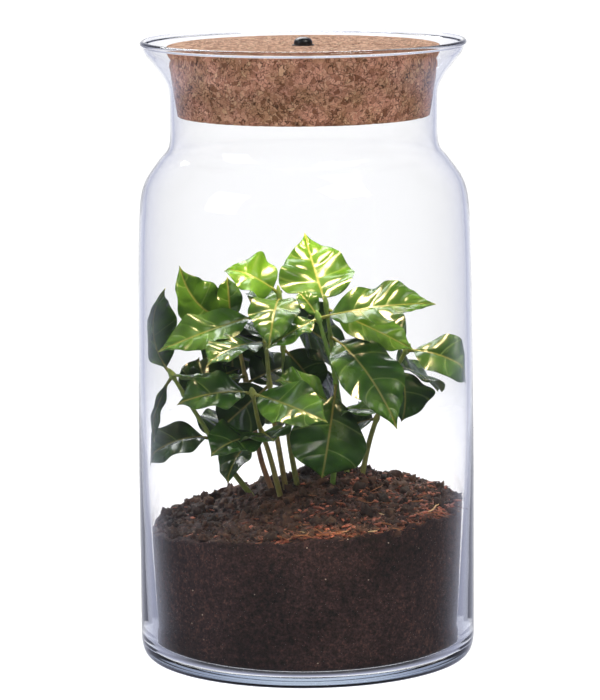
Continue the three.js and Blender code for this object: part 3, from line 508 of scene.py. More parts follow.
def fibre(seed, length, radius, bend, sides):
    """A fibre lying along X, bent a little sideways and up."""
    share = np.linspace(-0.5, 0.5, 7)
    points = [(length * s, bend * length * noise.noise(Vector((s * 2, seed, 0))),
               0.35 * bend * length * noise.noise(Vector((s * 2, seed, 9))) + radius) for s in share]
    return tube(points, radius * (1 - 0.9 * (2 * share) ** 4), sides)


def made_by(source, tree, values):
    """The plain mesh that a node tree makes of an object, with the tree's named inputs set."""
    modifier = source.modifiers.new(tree.name, "NODES")
    modifier.node_group = tree
    for item in tree.interface.items_tree:
        if item.name in values:
            modifier[item.identifier] = values[item.name]
    depsgraph = bpy.context.evaluated_depsgraph_get()
    mesh = bpy.data.meshes.new_from_object(source.evaluated_get(depsgraph), depsgraph=depsgraph)
    source.modifiers.remove(modifier)
    return mesh


def new_shaping_tree(name, inputs):
    """A tree of geometry nodes with named inputs besides its geometry, and the inputs' sockets."""
    tree = bpy.data.node_groups.new(name, "GeometryNodeTree")
    for label, kind in (("Geometry", "Geometry"), *inputs):
        tree.interface.new_socket(label, in_out="INPUT", socket_type=f"NodeSocket{kind}")
    tree.interface.new_socket("Geometry", in_out="OUTPUT", socket_type="NodeSocketGeometry")
    return tree, tree.nodes.new("NodeGroupInput").outputs


strewing, given = new_shaping_tree("strewing", (
    ("Shapes", "Collection"), ("Where", "String"), ("Pieces in a Square Metre", "Float"),
    ("Smallest", "Float"), ("Largest", "Float"), ("Tilt", "Float"), ("Seed", "Int"),
    ("Finish", "Material")))
here = add(strewing, "GeometryNodeInputNamedAttribute", {"Name": given["Where"]}, data_type="FLOAT")
density = add(strewing, "ShaderNodeMath", {0: here.outputs[0], 1: given["Pieces in a Square Metre"]},
              operation="MULTIPLY")
points = add(strewing, "GeometryNodeDistributePointsOnFaces", {
    "Mesh": given["Geometry"], "Density": density.outputs[0], "Seed": given["Seed"]})
shapes = add(strewing, "GeometryNodeCollectionInfo", {"Collection": given["Shapes"],
                                                      "Separate Children": True})
least = add(strewing, "ShaderNodeMath", {0: given["Tilt"], 1: -1.0}, operation="MULTIPLY")
low = add(strewing, "ShaderNodeCombineXYZ", {"X": least.outputs[0], "Y": least.outputs[0]})
high = add(strewing, "ShaderNodeCombineXYZ", {"X": given["Tilt"], "Y": given["Tilt"], "Z": 2 * math.pi})
turn = add(strewing, "FunctionNodeRandomValue", {
    0: low.outputs[0], 1: high.outputs[0], "Seed": given["Seed"]}, data_type="FLOAT_VECTOR")
grow = add(strewing, "FunctionNodeRandomValue", {
    2: given["Smallest"], 3: given["Largest"], "Seed": given["Seed"]})
strewn = add(strewing, "GeometryNodeInstanceOnPoints", {
    "Points": points.outputs["Points"], "Instance": shapes.outputs[0], "Pick Instance": True,
    "Rotation": turn.outputs[0], "Scale": grow.outputs[1]})
real = add(strewing, "GeometryNodeRealizeInstances", {"Geometry": strewn.outputs[0]})
finished = add(strewing, "GeometryNodeSetMaterial", {"Geometry": real.outputs[0],
                                                     "Material": given["Finish"]})
add(strewing, "NodeGroupOutput", {0: finished.outputs[0]})


def earthy(name, dark, light, rough, streak, relief):
    """Dry plant matter: each piece has its own tone between two browns, streaked along its grain."""
    material, tree, place = new_material(name)
    own = add(tree, "ShaderNodeNewGeometry").outputs["Random Per Island"]
    grain = add(tree, "ShaderNodeTexNoise", {"Vector": place, "Scale": streak, "Detail": 3.0})
    mixed = add(tree, "ShaderNodeMath", {0: grain.outputs[0], 1: own}, operation="MULTIPLY")
    tone = add(tree, "ShaderNodeMix", {0: mixed.outputs[0], 6: linear(dark), 7: linear(light)},
               data_type="RGBA")
    bump = add(tree, "ShaderNodeBump", {"Strength": 0.6, "Distance": relief * MM,
                                        "Height": grain.outputs[0]})
    face = add(tree, "ShaderNodeBsdfPrincipled", {"Base Color": tone.outputs[2], "Roughness": rough,
                                                  "Specular IOR Level": 0.35, "Normal": bump.outputs[0]})
    add(tree, "ShaderNodeOutputMaterial", {"Surface": face.outputs[0]})
    return material


# Peat crumb: dull and near black, its pieces from umber to almost black. Composted bark: rust-red
# flakes, a little glossy where they split. Coir and straw: dry pale fibre with a soft sheen.
litter_finishes = {
    "soil_crumbs": earthy("loose_peat_crumb", "#181110", "#5c4034", 0.85, 900.0, 0.3),
    "soil_clods": earthy("peat_clod", "#1f1613", "#5d4032", 0.85, 700.0, 0.6),
    "bark_flakes": earthy("composted_bark", "#4a2117", "#d07558", 0.6, 800.0, 0.4),
    "coir_fibres": earthy("coir_fibre", "#5a2f1c", "#b87a48", 0.55, 1200.0, 0.1),
    "dry_straws": earthy("dry_straw", "#a98a60", "#e6cf9f", 0.45, 1200.0, 0.1),
}
litter_shapes = {
    "soil_crumbs": [lump(k, (2.2, 1.9, 1.6), 1, 1.2) for k in range(5)],
    "soil_clods": [lump(20 + k, (5.2, 4.4, 3.4), 2, 1.3) for k in range(4)],
    "bark_flakes": [lump(40 + k, (5.0, 1.7 + 0.4 * k, 0.7), 2, 0.9) for k in range(4)],
    "coir_fibres": [fibre(60 + k, 11 + 3 * k, 0.22, 0.35, 5) for k in range(4)],
    "dry_straws": [fibre(80 + k, 15 + 4 * k, 0.4, 0.12, 6) for k in range(3)],
}
for name, (number, smallest, largest, tilt, where, seed) in LITTER.items():
    kinds = bpy.data.collections.new(f"{name}_kinds")
    for vertices, faces in litter_shapes[name]:
        shape = new_object(f"{name}_kind", vertices, faces, litter_finishes[name])
        bpy.context.scene.collection.objects.unlink(shape)
        kinds.objects.link(shape)
    strewn_mesh = made_by(soil, strewing, {
        "Shapes": kinds, "Where": where, "Pieces in a Square Metre": float(number),
        "Smallest": smallest, "Largest": largest, "Tilt": math.radians(tilt), "Seed": seed,
        "Finish": litter_finishes[name]})
    for shape in list(kinds.objects):
        bpy.data.objects.remove(shape)
    bpy.data.collections.remove(kinds)
    litter = placed(name, strewn_mesh)
    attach(litter, "terrarium")
    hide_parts("potting_soil")

# Seedlings: young coffee plants, a stem each with its leaves in opposite pairs. The blades are
# glossy and quilted: they bulge between sunken side veins, and their margins are wavy.
STEM_BASE_RADIUS, STEM_TOP_RADIUS, STEM_AT_MOST, ROOT_DEPTH = 1.6, 1.0, 2.1, 20
STEM_FOOT, STEM_GREENS_OVER = 84, 110
NODE_SWELLING, NODE_LENGTH, BUD_LENGTH = 0.55, 1.7, 5
GLASS_CLEARANCE, GLASS_SOFTNESS = 1.4, 4
PETIOLE_SHARE, PETIOLE_RADIUS, MIDRIB_TIP_RADIUS = 0.1, 0.85, 0.22
BLADE_THICKNESS, MARGIN_THINS_BY, MIDRIB_STANDS_PROUD = 0.42, 0.45, 0.3
USUAL_WIDEST, BLADE_FULLNESS, DRIP_TIP_NARROWS = 0.84, 0.92, 0.55
USUAL_FOLD, MARGIN_WAVE, MARGIN_FRILL, MARGIN_RIPPLE = 0.2, 0.15, 0.035, 0.03  # shares of the half width
VEIN_SPACING, FEWEST_VEINS, MOST_VEINS = 9.0, 4, 7
VEIN_LEAN, QUILT_SHARE = 0.17, 0.075
VEINS_ALTERNATE_BY = 3 / 8
VEIN_RIDGE, VEIN_RIDGE_WIDTH = 0.26, 0.09
ROWS_BETWEEN_VEINS, COLUMNS_EACH_SIDE = 12, 11
PHASE_BY_SEEDLING, PHASE_BY_LEAF = 1.9, 2.4  # so that no two leaves wave alike


def one_leaf(at, tip, width, face, bow, tone, **more):
    """A leaf's place along the stem, its tip, its width, the way that its face looks, how its midrib bows,
    and its green, from dark to light, which is partly painted shade: leaves at the back and low down get
    darker greens. A few also fold, twist or sway, or are widest elsewhere."""
    return {"at": at, "tip": tip, "width": width, "face": face, "bow": bow, "tone": tone, **more}


# Each leaf's last number is its green from dark to light: partly its own colour, and partly painted shade on
# the leaves at the back and low down
SEEDLINGS = (
    {"wood": 0.25, "stem": ((-31, 8, 84), (-43, 3, 102), (-56, -3, 126), (-65, -6, 142),
                            (-71, -8, 153)), "leaves": (
        one_leaf(1, (-74, -14, 201), 32, (0.75, -0.6, 0.1), -0.26, 0.3),
        one_leaf(1, (-81, -14, 118), 11, (0.85, -0.35, 0.35), -0.16, 0.3),
        one_leaf(0.48, (-89, -12, 104), 26, (-0.1, -0.6, 0.8), 0.22, 0.16),
        one_leaf(0.45, (-42, 46, 121), 32, (0, -0.7, 0.7), 0.1, 0.15),
        one_leaf(0.85, (-36, 30, 150), 26, (0, -0.8, 0.6), 0.06, 0.14),
        one_leaf(0.8, (-58, 22, 158), 17, (0.3, -0.8, 0.4), -0.1, 0.12),
    )},
    {"wood": 1.0, "stem": ((-19, 8, 86), (-24, 10, 100), (-27, 12, 114), (-32, 14, 144),
                           (-37, 15, 168), (-41, 15, 181)), "leaves": (
        one_leaf(1, (-67, 0, 211), 28, (0.55, -0.77, 0.12), 0.06, 0.42, sway=-0.22),
        one_leaf(1, (-40, 48, 140), 36, (0, -0.8, 0.6), 0.12, 0.14),
        one_leaf(0.97, (-42, 20, 202), 15, (0, -1, 0.1), 0.1, 0.4, fold=0.5),
        one_leaf(0.66, (-70, -36, 158), 24, (0, 0.2, 1), -0.02, 0.4, fold=0.06),
        one_leaf(0.62, (-4, 44, 151), 30, (0, -0.8, 0.6), 0.06, 0.12),
        one_leaf(0.3, (-42, -18, 95), 20, (-0.5, -0.7, 0.5), 0.15, 0.2),
    )},
    {"wood": 0.5, "stem": ((-14, -4, 84), (-20, -10, 110), (-25, -20, 128),
                           (-28, -32, 147)), "leaves": (
        one_leaf(1, (-67, -42, 143), 27, (0, -0.6, 0.8), 0.12, 0.26),
        one_leaf(1, (11, -64, 137), 29, (0.1, -0.8, 0.55), 0.05, 0.38),
        one_leaf(0.55, (-50, -42, 115), 30, (-0.2, -0.6, 0.7), 0.14, 0.26),
        one_leaf(0.6, (-17, -43, 123), 30, (0, -0.6, 0.8), 0.02, 0.28),
    )},
    {"wood": 0.6, "stem": ((-11, 2, 86), (-15, -4, 113), (-18, -9, 134), (-20, -11, 156),
                           (-22, -10, 175), (-25, -8, 185)), "leaves": (
        one_leaf(1, (-77, -28, 169), 27, (-0.1, -0.6, 0.8), 0.04, 0.4),
        one_leaf(1, (-19, 36, 190), 20, (0, 0, 1), 0.12, 0.3),
        one_leaf(0.85, (-51, -50, 165), 25, (-0.2, -0.6, 0.75), 0.12, 0.3),
        one_leaf(0.85, (-22, 46, 172), 24, (0, -0.6, 0.8), 0.08, 0.2),
        one_leaf(0.63, (-47, 0, 121), 30, (0, -0.9, 0.3), 0.06, 0.12),
    )},
    {"wood": 0.35, "stem": ((-5, 6, 88), (-9, 4, 113), (-11, 3, 137), (-12, 1, 165), (-13, -2, 187),
                            (-14, -3, 196)), "leaves": (
        one_leaf(1, (-43, 0, 208), 31, (-0.2, -0.6, 0.75), 0.2, 0.56, twist=25, widest=0.62),
        one_leaf(0.97, (-19, -42, 173), 28, (0, -0.5, 0.85), 0.18, 0.34),
        one_leaf(0.9, (25, 38, 151), 35, (0, -0.8, 0.6), 0.08, 0.13),
        one_leaf(0.72, (8, 12, 138), 26, (0.2, -0.9, 0.35), 0.12, 0.14),
        one_leaf(0.5, (-14, 54, 112), 32, (0, -0.8, 0.6), 0.08, 0.15),
    )},
    {"wood": 0.0, "stem": ((14, 0, 90), (16, -6, 117), (17, -11, 137), (15, -15, 156),
                           (11, -18, 170), (7, -20, 185)), "leaves": (
        one_leaf(1, (68, -32, 194), 34, (0, -0.5, 0.85), 0.05, 0.38),
        one_leaf(1, (-21, -36, 171), 22, (0, -0.3, 0.95), 0.04, 0.42),
        one_leaf(1, (-4, -10, 198), 12, (0, -0.6, 0.8), 0.1, 0.45),
        one_leaf(0.45, (-16, -28, 153), 26, (-0.1, -0.5, 0.85), 0.14, 0.42),
        one_leaf(0.45, (41, -40, 137), 24, (0, -0.4, 0.9), 0.06, 0.5),
        one_leaf(0.62, (8, -42, 103), 42, (0, -1, -0.15), 0.16, 0.24, widest=1.2),
    )},
    {"wood": 0.3, "stem": ((22, 14, 90), (21, 12, 114), (17, 6, 142), (14, -2, 168), (12, -5, 183),
                           (11, -6, 191)), "leaves": (
        one_leaf(1, (0, 36, 223), 42, (0, -0.6, 0.8), -0.05, 0.42, fold=0.08, widest=0.62),
        one_leaf(0.97, (58, -12, 166), 26, (0.1, -0.6, 0.8), 0.03, 0.48, fold=0.1),
        one_leaf(0.82, (47, -52, 131), 35, (0.15, -0.75, 0.6), 0.16, 0.27),
        one_leaf(0.6, (12, 54, 112), 38, (0, -0.8, 0.6), 0.1, 0.12),
        one_leaf(0.6, (54, 56, 138), 28, (0, -0.4, 0.9), 0.12, 0.2),
    )},
    {"wood": 0.4, "stem": ((30, 16, 90), (34, 15, 110), (38, 13, 124), (44, 9, 141), (50, 5, 156),
                           (54, 2, 164)), "leaves": (
        one_leaf(1, (94, -14, 148), 28, (0.2, -0.75, 0.6), 0.22, 0.36),
        one_leaf(1, (28, 36, 177), 28, (0, -0.7, 0.7), 0.1, 0.3),
        one_leaf(0.85, (51, -4, 126), 32, (0.5, -0.75, 0.3), 0.2, 0.2),
        one_leaf(0.85, (73, 34, 136), 36, (0, -0.5, 0.9), 0.12, 0.16),
        one_leaf(0.45, (14, 41, 110), 26, (0, -0.8, 0.6), 0.08, 0.12),
    )},
)

# Coffee leaf: a waxy, glossy skin over living green, which light also shines through. The veins are
# paler, the midrib is flushed red-gold, and the underside is paler and duller. Each leaf's green, from dark
# to light, also carries painted shade: it is darker on the leaves at the back and low down.
leaf_skin, tree, place = new_material("waxy_coffee_leaf")
vein_course = add(tree, "ShaderNodeUVMap", uv_map="vein_course").outputs[0]
course = add(tree, "ShaderNodeSeparateXYZ", {0: vein_course})
tone = add(tree, "ShaderNodeAttribute", attribute_name="tone").outputs["Fac"]
under = add(tree, "ShaderNodeAttribute", attribute_name="under").outputs["Fac"]
mottle = add(tree, "ShaderNodeTexNoise", {"Vector": place, "Scale": 70.0, "Detail": 3.0})
shift = add(tree, "ShaderNodeMapRange", {"Value": mottle.outputs[0], "From Min": 0.3, "From Max": 0.7,
                                         "To Min": -0.13, "To Max": 0.13})
toned = add(tree, "ShaderNodeMath", {0: tone, 1: shift.outputs[0]}, operation="ADD", use_clamp=True)
# The greens by each leaf's tone: the leaf's own green, with painted shade in the darker greens of the leaves
# at the back and low down
greens_with_painted_shade = add(tree, "ShaderNodeValToRGB", {"Fac": toned.outputs[0]})
greens_with_painted_shade.color_ramp.elements[0].color = linear("#172312")
greens_with_painted_shade.color_ramp.elements[1].color = linear("#86a828")
for position, colour in ((0.25, "#223e15"), (0.5, "#416718"), (0.75, "#5d8a1b")):
    greens_with_painted_shade.color_ramp.elements.new(position).color = linear(colour)
to_vein = add(tree, "ShaderNodeMath", {0: course.outputs["X"], 1: 1.0}, operation="PINGPONG")
side_vein = add(tree, "ShaderNodeMapRange", {
    "Value": to_vein.outputs[0], "From Min": 0.07, "From Max": 0.015, "To Max": 0.55},
    interpolation_type="SMOOTHSTEP")
lighter = add(tree, "ShaderNodeMix", {0: 0.22, 6: greens_with_painted_shade.outputs[0], 7: linear("#b9cf7a")},
              data_type="RGBA")
veined = add(tree, "ShaderNodeMix", {0: side_vein.outputs[0], 6: greens_with_painted_shade.outputs[0], 7: lighter.outputs[2]},
             data_type="RGBA")
from_midrib = add(tree, "ShaderNodeMath", {0: course.outputs["Y"]}, operation="ABSOLUTE")
midrib_mask = add(tree, "ShaderNodeMapRange", {
    "Value": from_midrib.outputs[0], "From Min": 0.8, "From Max": 0.2, "To Max": 0.6},
    interpolation_type="SMOOTHSTEP")
flush = add(tree, "ShaderNodeMix", {0: mottle.outputs[0], 6: linear("#a9b45e"), 7: linear("#b07f4c")},
            data_type="RGBA")
own_rib = add(tree, "ShaderNodeMix", {0: 0.5, 6: greens_with_painted_shade.outputs[0], 7: flush.outputs[2]},
              data_type="RGBA")
flushed = add(tree, "ShaderNodeMix", {
    0: midrib_mask.outputs[0], 6: veined.outputs[2], 7: own_rib.outputs[2]}, data_type="RGBA")
paler = add(tree, "ShaderNodeMix", {0: 0.5, 6: flushed.outputs[2], 7: linear("#93a874")},
            data_type="RGBA")
skin = add(tree, "ShaderNodeMix", {0: under, 6: flushed.outputs[2], 7: paler.outputs[2]}, data_type="RGBA")
netted = add(tree, "ShaderNodeTexVoronoi", {"Vector": place, "Scale": 900.0},
             feature="DISTANCE_TO_EDGE")
net = add(tree, "ShaderNodeBump", {"Strength": 0.22, "Distance": 0.0002,
                                   "Height": netted.outputs["Distance"]})
polish = add(tree, "ShaderNodeMapRange", {"Value": mottle.outputs[0], "From Min": 0.3, "From Max": 0.7,
                                          "To Min": 0.16, "To Max": 0.3})
duller = add(tree, "ShaderNodeMath", {0: under, 1: 0.2, 2: polish.outputs[0]}, operation="MULTIPLY_ADD")
waxy = add(tree, "ShaderNodeBsdfPrincipled", {
    "Base Color": skin.outputs[2], "Roughness": duller.outputs[0], "IOR": 1.45, "Normal": net.outputs[0],
    "Specular IOR Level": 0.38, "Coat Weight": 0.2, "Coat Roughness": 0.12})
glowing = add(tree, "ShaderNodeMix", {0: 0.3, 6: skin.outputs[2], 7: linear("#9cc62c")},
              data_type="RGBA")
through = add(tree, "ShaderNodeBsdfTranslucent", {"Color": glowing.outputs[2]})
living = add(tree, "ShaderNodeMixShader", {0: 0.16, 1: waxy.outputs[0], 2: through.outputs[0]})
add(tree, "ShaderNodeOutputMaterial", {"Surface": living.outputs[0]})

# Seedling stem: smooth green skin on the youngest, corky and grey-brown where it has turned woody
stem_skin, tree, place = new_material("seedling_stem_bark")
wood = add(tree, "ShaderNodeAttribute", attribute_name="wood").outputs["Fac"]
stretched = add(tree, "ShaderNodeMapping", {"Vector": place, "Scale": (1.0, 1.0, 0.22)})
bark = add(tree, "ShaderNodeTexNoise", {"Vector": stretched.outputs[0], "Scale": 900.0, "Detail": 4.0})
old = add(tree, "ShaderNodeMix", {0: bark.outputs[0], 6: linear("#5d3f2c"), 7: linear("#b88b62")},
          data_type="RGBA")
young = add(tree, "ShaderNodeMix", {0: bark.outputs[0], 6: linear("#46692a"), 7: linear("#7b9c3e")},
            data_type="RGBA")
rind = add(tree, "ShaderNodeMix", {0: wood, 6: young.outputs[2], 7: old.outputs[2]}, data_type="RGBA")
ridges = add(tree, "ShaderNodeBump", {"Strength": 0.5, "Distance": 0.0003, "Height": bark.outputs[0]})
stem_face = add(tree, "ShaderNodeBsdfPrincipled", {"Base Color": rind.outputs[2], "Roughness": 0.48,
                                                   "Normal": ridges.outputs[0]})
add(tree, "ShaderNodeOutputMaterial", {"Surface": stem_face.outputs[0]})


def grown_through(points, steps):
    """A smooth stem through its points, evenly curved whatever their spacing."""
    p = np.array(points, float)
    p = np.vstack([2 * p[0] - p[1], p, 2 * p[-1] - p[-2]])
    t = np.linspace(0, 1, steps, endpoint=False).reshape(-1, 1)
    stretches = []
    for p0, p1, p2, p3 in zip(p, p[1:], p[2:], p[3:]):
        d0, d1, d2 = (np.linalg.norm(b - a) ** 0.5 for a, b in ((p0, p1), (p1, p2), (p2, p3)))
        m1 = ((p1 - p0) / d0 - (p2 - p0) / (d0 + d1) + (p2 - p1) / d1) * d1
        m2 = ((p2 - p1) / d1 - (p3 - p1) / (d1 + d2) + (p3 - p2) / d2) * d1
        stretches.append(hermite(p1, p2, m1, m2, t))
    return np.vstack([*stretches, p[-2:-1]])


def kept_inside_glass(points):
    """Points near the wall, eased back so that they stay clear of it."""
    radius = np.hypot(points[..., 0], points[..., 1])
    start = inner_radius_at(points[..., 2]) - GLASS_CLEARANCE - GLASS_SOFTNESS
    eased = start + GLASS_SOFTNESS * (1 - np.exp(-np.maximum(radius - start, 0) / GLASS_SOFTNESS))
    scale = np.where(radius > start, eased / np.maximum(radius, 1e-6), 1.0)
    points[..., 0] *= scale
    points[..., 1] *= scale
    return points


def unit(vectors):
    """The vectors made one long."""
    return vectors / np.linalg.norm(vectors, axis=-1, keepdims=True)


def half_width_at(leaf, s, phase):
    """Half a blade's width at the share s of its length. It ends in a drawn-out drip tip."""
    full = np.sin(math.pi * np.clip(s, 1e-6, 1) ** leaf.get("widest", USUAL_WIDEST)).clip(0, 1)
    full = full ** BLADE_FULLNESS
    drawn_out = 1 - DRIP_TIP_NARROWS * smoothstep(s, 0.75, 0.98)
    rippled = 1 + MARGIN_RIPPLE * np.sin(2 * math.pi * 3.1 * s + 1.7 * phase)
    return np.maximum(0.25, 0.5 * leaf["width"] * full * drawn_out * rippled)


def grown_leaf(leaf, start, phase):
    """A leaf's blade and its stalk with the midrib: points, faces, tones, sides and vein courses."""
    tip = np.array(leaf["tip"], float)
    face = unit(np.array(leaf["face"], float))
    chord = tip - start
    rise = face * np.linalg.norm(chord) * leaf["bow"] + np.cross(chord, face) * leaf.get("sway", 0)
    bend = [start, start + 0.3 * chord + 1.3 * rise, start + 0.72 * chord + 1.2 * rise, tip]

    def on_midrib(s):
        """Places along the midrib and the way that it runs there."""
        t = np.clip(PETIOLE_SHARE + (1 - PETIOLE_SHARE) * np.asarray(s, float), 0, 1)
        flat = t.reshape(-1)
        return (bezier(bend, flat).reshape(*t.shape, 3),
                unit(bezier(bend, flat + 1e-3) - bezier(bend, flat - 1e-3)).reshape(*t.shape, 3))

    veins = int(np.clip(round(np.linalg.norm(chord) / VEIN_SPACING), FEWEST_VEINS, MOST_VEINS))
    spacing = np.linalg.norm(chord) / veins
    rows, columns = veins * ROWS_BETWEEN_VEINS, COLUMNS_EACH_SIDE
    u = np.linspace(0, 1, rows + 1).reshape(-1, 1)
    v = np.linspace(-1, 1, 2 * columns + 1).reshape(1, -1)
    v = np.sign(v) * np.abs(v) ** 1.6
    s = u + VEIN_LEAN * np.abs(v) ** 1.4 * np.sin(math.pi * u)
    spine, along = on_midrib(s)
    across = unit(np.cross(along, face))
    twist = np.radians(leaf.get("twist", 0)) * np.clip(s, 0, 1)[..., None]
    across = across * np.cos(twist) + np.cross(along, across) * np.sin(twist)
    up = unit(np.cross(across, along))
    half = half_width_at(leaf, s, phase)
    fold = half * (np.sqrt(v * v + 0.0009) - 0.03) * leaf.get("fold", USUAL_FOLD)
    waving = np.sin(2 * math.pi * 2.3 * s + phase + np.where(v < 0, 2.1, 0.0))
    wave = half * MARGIN_WAVE * np.abs(v) ** 1.4 * waving
    order = u * veins + np.where(v < 0, VEINS_ALTERNATE_BY, 0.0)
    between = np.abs(2 * (order % 1) - 1)
    ends = smoothstep(u, 0, 0.12) * (1 - smoothstep(u, 0.86, 1))
    off_midrib, off_margin = smoothstep(np.abs(v), 0, 0.22), 1 - np.abs(v) ** 5
    quilt = spacing * QUILT_SHARE * (1 - between ** 2.3) * off_midrib * off_margin * ends
    frill = MARGIN_FRILL * half * np.abs(v) ** 3 * np.sin(2 * math.pi * order + phase)
    middle = spine + across * (half * v * 0.97)[..., None] + up * (fold + wave + quilt + frill)[..., None]
    thickness = BLADE_THICKNESS * (1 - MARGIN_THINS_BY * np.abs(v) ** 3)[..., None]
    thickness = thickness * np.ones_like(half)[..., None]
    ridge = VEIN_RIDGE * np.exp(-((1 - between) / VEIN_RIDGE_WIDTH) ** 2) * (np.abs(v) < 0.9) * ends
    top = kept_inside_glass(middle + up * thickness / 2)
    bottom = kept_inside_glass(middle - up * (thickness / 2 + ridge[..., None]))
    wide = 2 * columns + 1
    vertices = [*top.reshape(-1, 3), *bottom.reshape(-1, 3)]
    count = (rows + 1) * wide
    faces, courses = [], []
    side_offset = (VEINS_ALTERNATE_BY, 0.0)
    reach = half * v

    def course_at(i, j, right_side):
        """How many veins a corner is along the blade, and how far across."""
        return (i / rows * veins + side_offset[right_side], reach[i, j])

    for i in range(rows):
        for j in range(wide - 1):
            corners = ((i, j), (i, j + 1), (i + 1, j + 1), (i + 1, j))
            numbers = [a * wide + b for a, b in corners]
            laid = [course_at(a, b, j >= columns) for a, b in corners]
            faces.append(tuple(numbers))
            courses += laid
            faces.append(tuple(n + count for n in reversed(numbers)))
            courses += reversed(laid)
    border = ([(i, 0) for i in range(rows)] + [(rows, j) for j in range(wide - 1)]
              + [(i, wide - 1) for i in range(rows, 0, -1)] + [(0, j) for j in range(wide - 1, 0, -1)])
    for (a, b), (c, d) in zip(border, border[1:] + border[:1]):
        first, second = a * wide + b, c * wide + d
        faces.append((first, second, second + count, first + count))
        courses += [course_at(a, b, b >= columns), course_at(c, d, d >= columns)]
        courses += [course_at(c, d, d >= columns), course_at(a, b, b >= columns)]
    tone = np.clip(leaf["tone"] + 0.1 * (u - 0.5) + 0 * v, 0, 1).reshape(-1)
    tones = np.concatenate([tone, tone])
    sides = np.repeat([0.0, 1.0], count)

    s_rib = np.linspace(-PETIOLE_SHARE / (1 - PETIOLE_SHARE), 0.985, 44)
    rib, rib_way = on_midrib(s_rib)
    radii = np.interp(s_rib, [-0.11, 0.0, 0.15, 1.0],
                      [PETIOLE_RADIUS * 1.2, PETIOLE_RADIUS, 0.55, MIDRIB_TIP_RADIUS])
    below = np.maximum(radii - MIDRIB_STANDS_PROUD, 0) * smoothstep(s_rib, 0, 0.1)
    sunk = unit(np.cross(np.cross(rib_way, face), rib_way)) * below[:, None]
    rib_vertices, rib_faces = tube(kept_inside_glass(rib - sunk), radii, 10)
    base = len(vertices)
    faces += [tuple(n + base for n in f) for f in rib_faces]
    courses += [(0.5, 0.0)] * sum(len(f) for f in rib_faces)
    vertices += rib_vertices
    tones = np.concatenate([tones, np.full(len(rib_vertices), leaf["tone"])])
    sides = np.concatenate([sides, np.zeros(len(rib_vertices))])
    return vertices, faces, tones, sides, courses


for number, plant in enumerate(SEEDLINGS):
    stem = grown_through(plant["stem"], 14)
    steps = np.linalg.norm(np.diff(stem, axis=0), axis=1)
    height = np.concatenate([[0], np.cumsum(steps)])
    vertices, faces, tones, sides, courses = [], [], [], [], []
    for k, leaf in enumerate(plant["leaves"]):
        at = leaf["at"] * height[-1]
        start = np.array([np.interp(at, height, stem[:, axis]) for axis in range(3)])
        phase = number * PHASE_BY_SEEDLING + k * PHASE_BY_LEAF
        new_vertices, new_faces, *new_values = grown_leaf(leaf, start, phase)
        faces += [tuple(n + len(vertices) for n in f) for f in new_faces]
        vertices += new_vertices
        for values, new in zip((tones, sides, courses), new_values):
            values += list(new)
    leaf_faces = len(faces)
    foot, top = unit(stem[1] - stem[0]), unit(stem[-1] - stem[-2])
    bud = np.linspace(0.12, 1, 8)
    path = np.vstack([stem[0] - foot * ROOT_DEPTH, stem[0] - foot * ROOT_DEPTH / 2, stem,
                      stem[-1] + top * BUD_LENGTH * bud[:, None]])
    radii = STEM_BASE_RADIUS + (STEM_TOP_RADIUS - STEM_BASE_RADIUS) * height / height[-1]
    for leaf in plant["leaves"]:
        radii = radii + NODE_SWELLING * np.exp(-((height - leaf["at"] * height[-1]) / NODE_LENGTH) ** 2)
    radii = np.minimum(radii, STEM_AT_MOST)
    radii = np.concatenate([[STEM_BASE_RADIUS * 0.7, STEM_BASE_RADIUS * 0.85], radii,
                            radii[-1] * (1 - bud) ** 0.6 + 0.06])
    stem_vertices, stem_faces = tube(path, radii, 14)
    faces += [tuple(n + len(vertices) for n in f) for f in stem_faces]
    courses += [(0.5, 0.0)] * sum(len(f) for f in stem_faces)
    vertices += stem_vertices
    tones += [0.5] * len(stem_vertices)
    sides += [0.0] * len(stem_vertices)
    seedling = new_object(f"coffee_seedling_{number + 1}", vertices, faces, leaf_skin, smooth_below=70)
    mesh = seedling.data
    mesh.materials.append(stem_skin)
    mesh.polygons.foreach_set("material_index", [0] * leaf_faces + [1] * (len(faces) - leaf_faces))
    greening = (np.array(vertices)[:, 2] - STEM_FOOT) / STEM_GREENS_OVER
    age = np.clip(1.2 - greening, 0.25, 1) * plant["wood"]
    for name, values in (("tone", tones), ("under", sides), ("wood", age)):
        mesh.attributes.new(name, "FLOAT", "POINT").data.foreach_set("value", np.asarray(values, float))
    mesh.uv_layers.new(name="vein_course").uv.foreach_set("vector", np.array(courses, float).reshape(-1))
    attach(seedling, "terrarium")
    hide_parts(f"seedling_{number + 1}")

# Cork stopper: ground cork granules pressed and baked with their own resin, turned to a taper and
# sanded. The granules are about 2 mm across, each with its own brown; some have broken out and
# left a pit.
CORK_BOTTOM, CORK_TOP = 291.6, 328.3
CORK_BOTTOM_RADIUS, CORK_TOP_RADIUS, CORK_EDGE_ROUND = 67.0, 72.6, 0.9
CAP_RADIUS, CAP_STANDS_PROUD, CAP_TRAVEL = 4.95, 4.4, 1.5
COLLAR_RADIUS, COLLAR_STANDS_PROUD, COLLAR_DEPTH = 5.9, 0.4, 3.2
BARREL_RADIUS = 4
LAMP_RADIUS, LAMP_RECESS, LAMP_ROOF = 32, 16, 2
GRANULE, GRANULE_WARP = 2.0, 3  # the warp as a multiple of the granule
PIT_DEPTH, CREVICE_DEPTH = 0.5, 0.2
SIDE_WIDTH, EDGE_HEIGHT, CRISP_EDGE_WEAR = 1.5, 0.5, 0.2
CORK_SIDES, CORK_STEP = 430, 1.05


def evenly(points, step):
    """The points of a broken line, with more between them, about a step apart."""
    line = [np.asarray(points[0], float)]
    for a, b in zip(points, points[1:]):
        a, b = np.asarray(a, float), np.asarray(b, float)
        pieces = max(1, round(np.linalg.norm(b - a) / step))
        line += [a + (b - a) * k / pieces for k in range(1, pieces + 1)]
    return np.array(line)


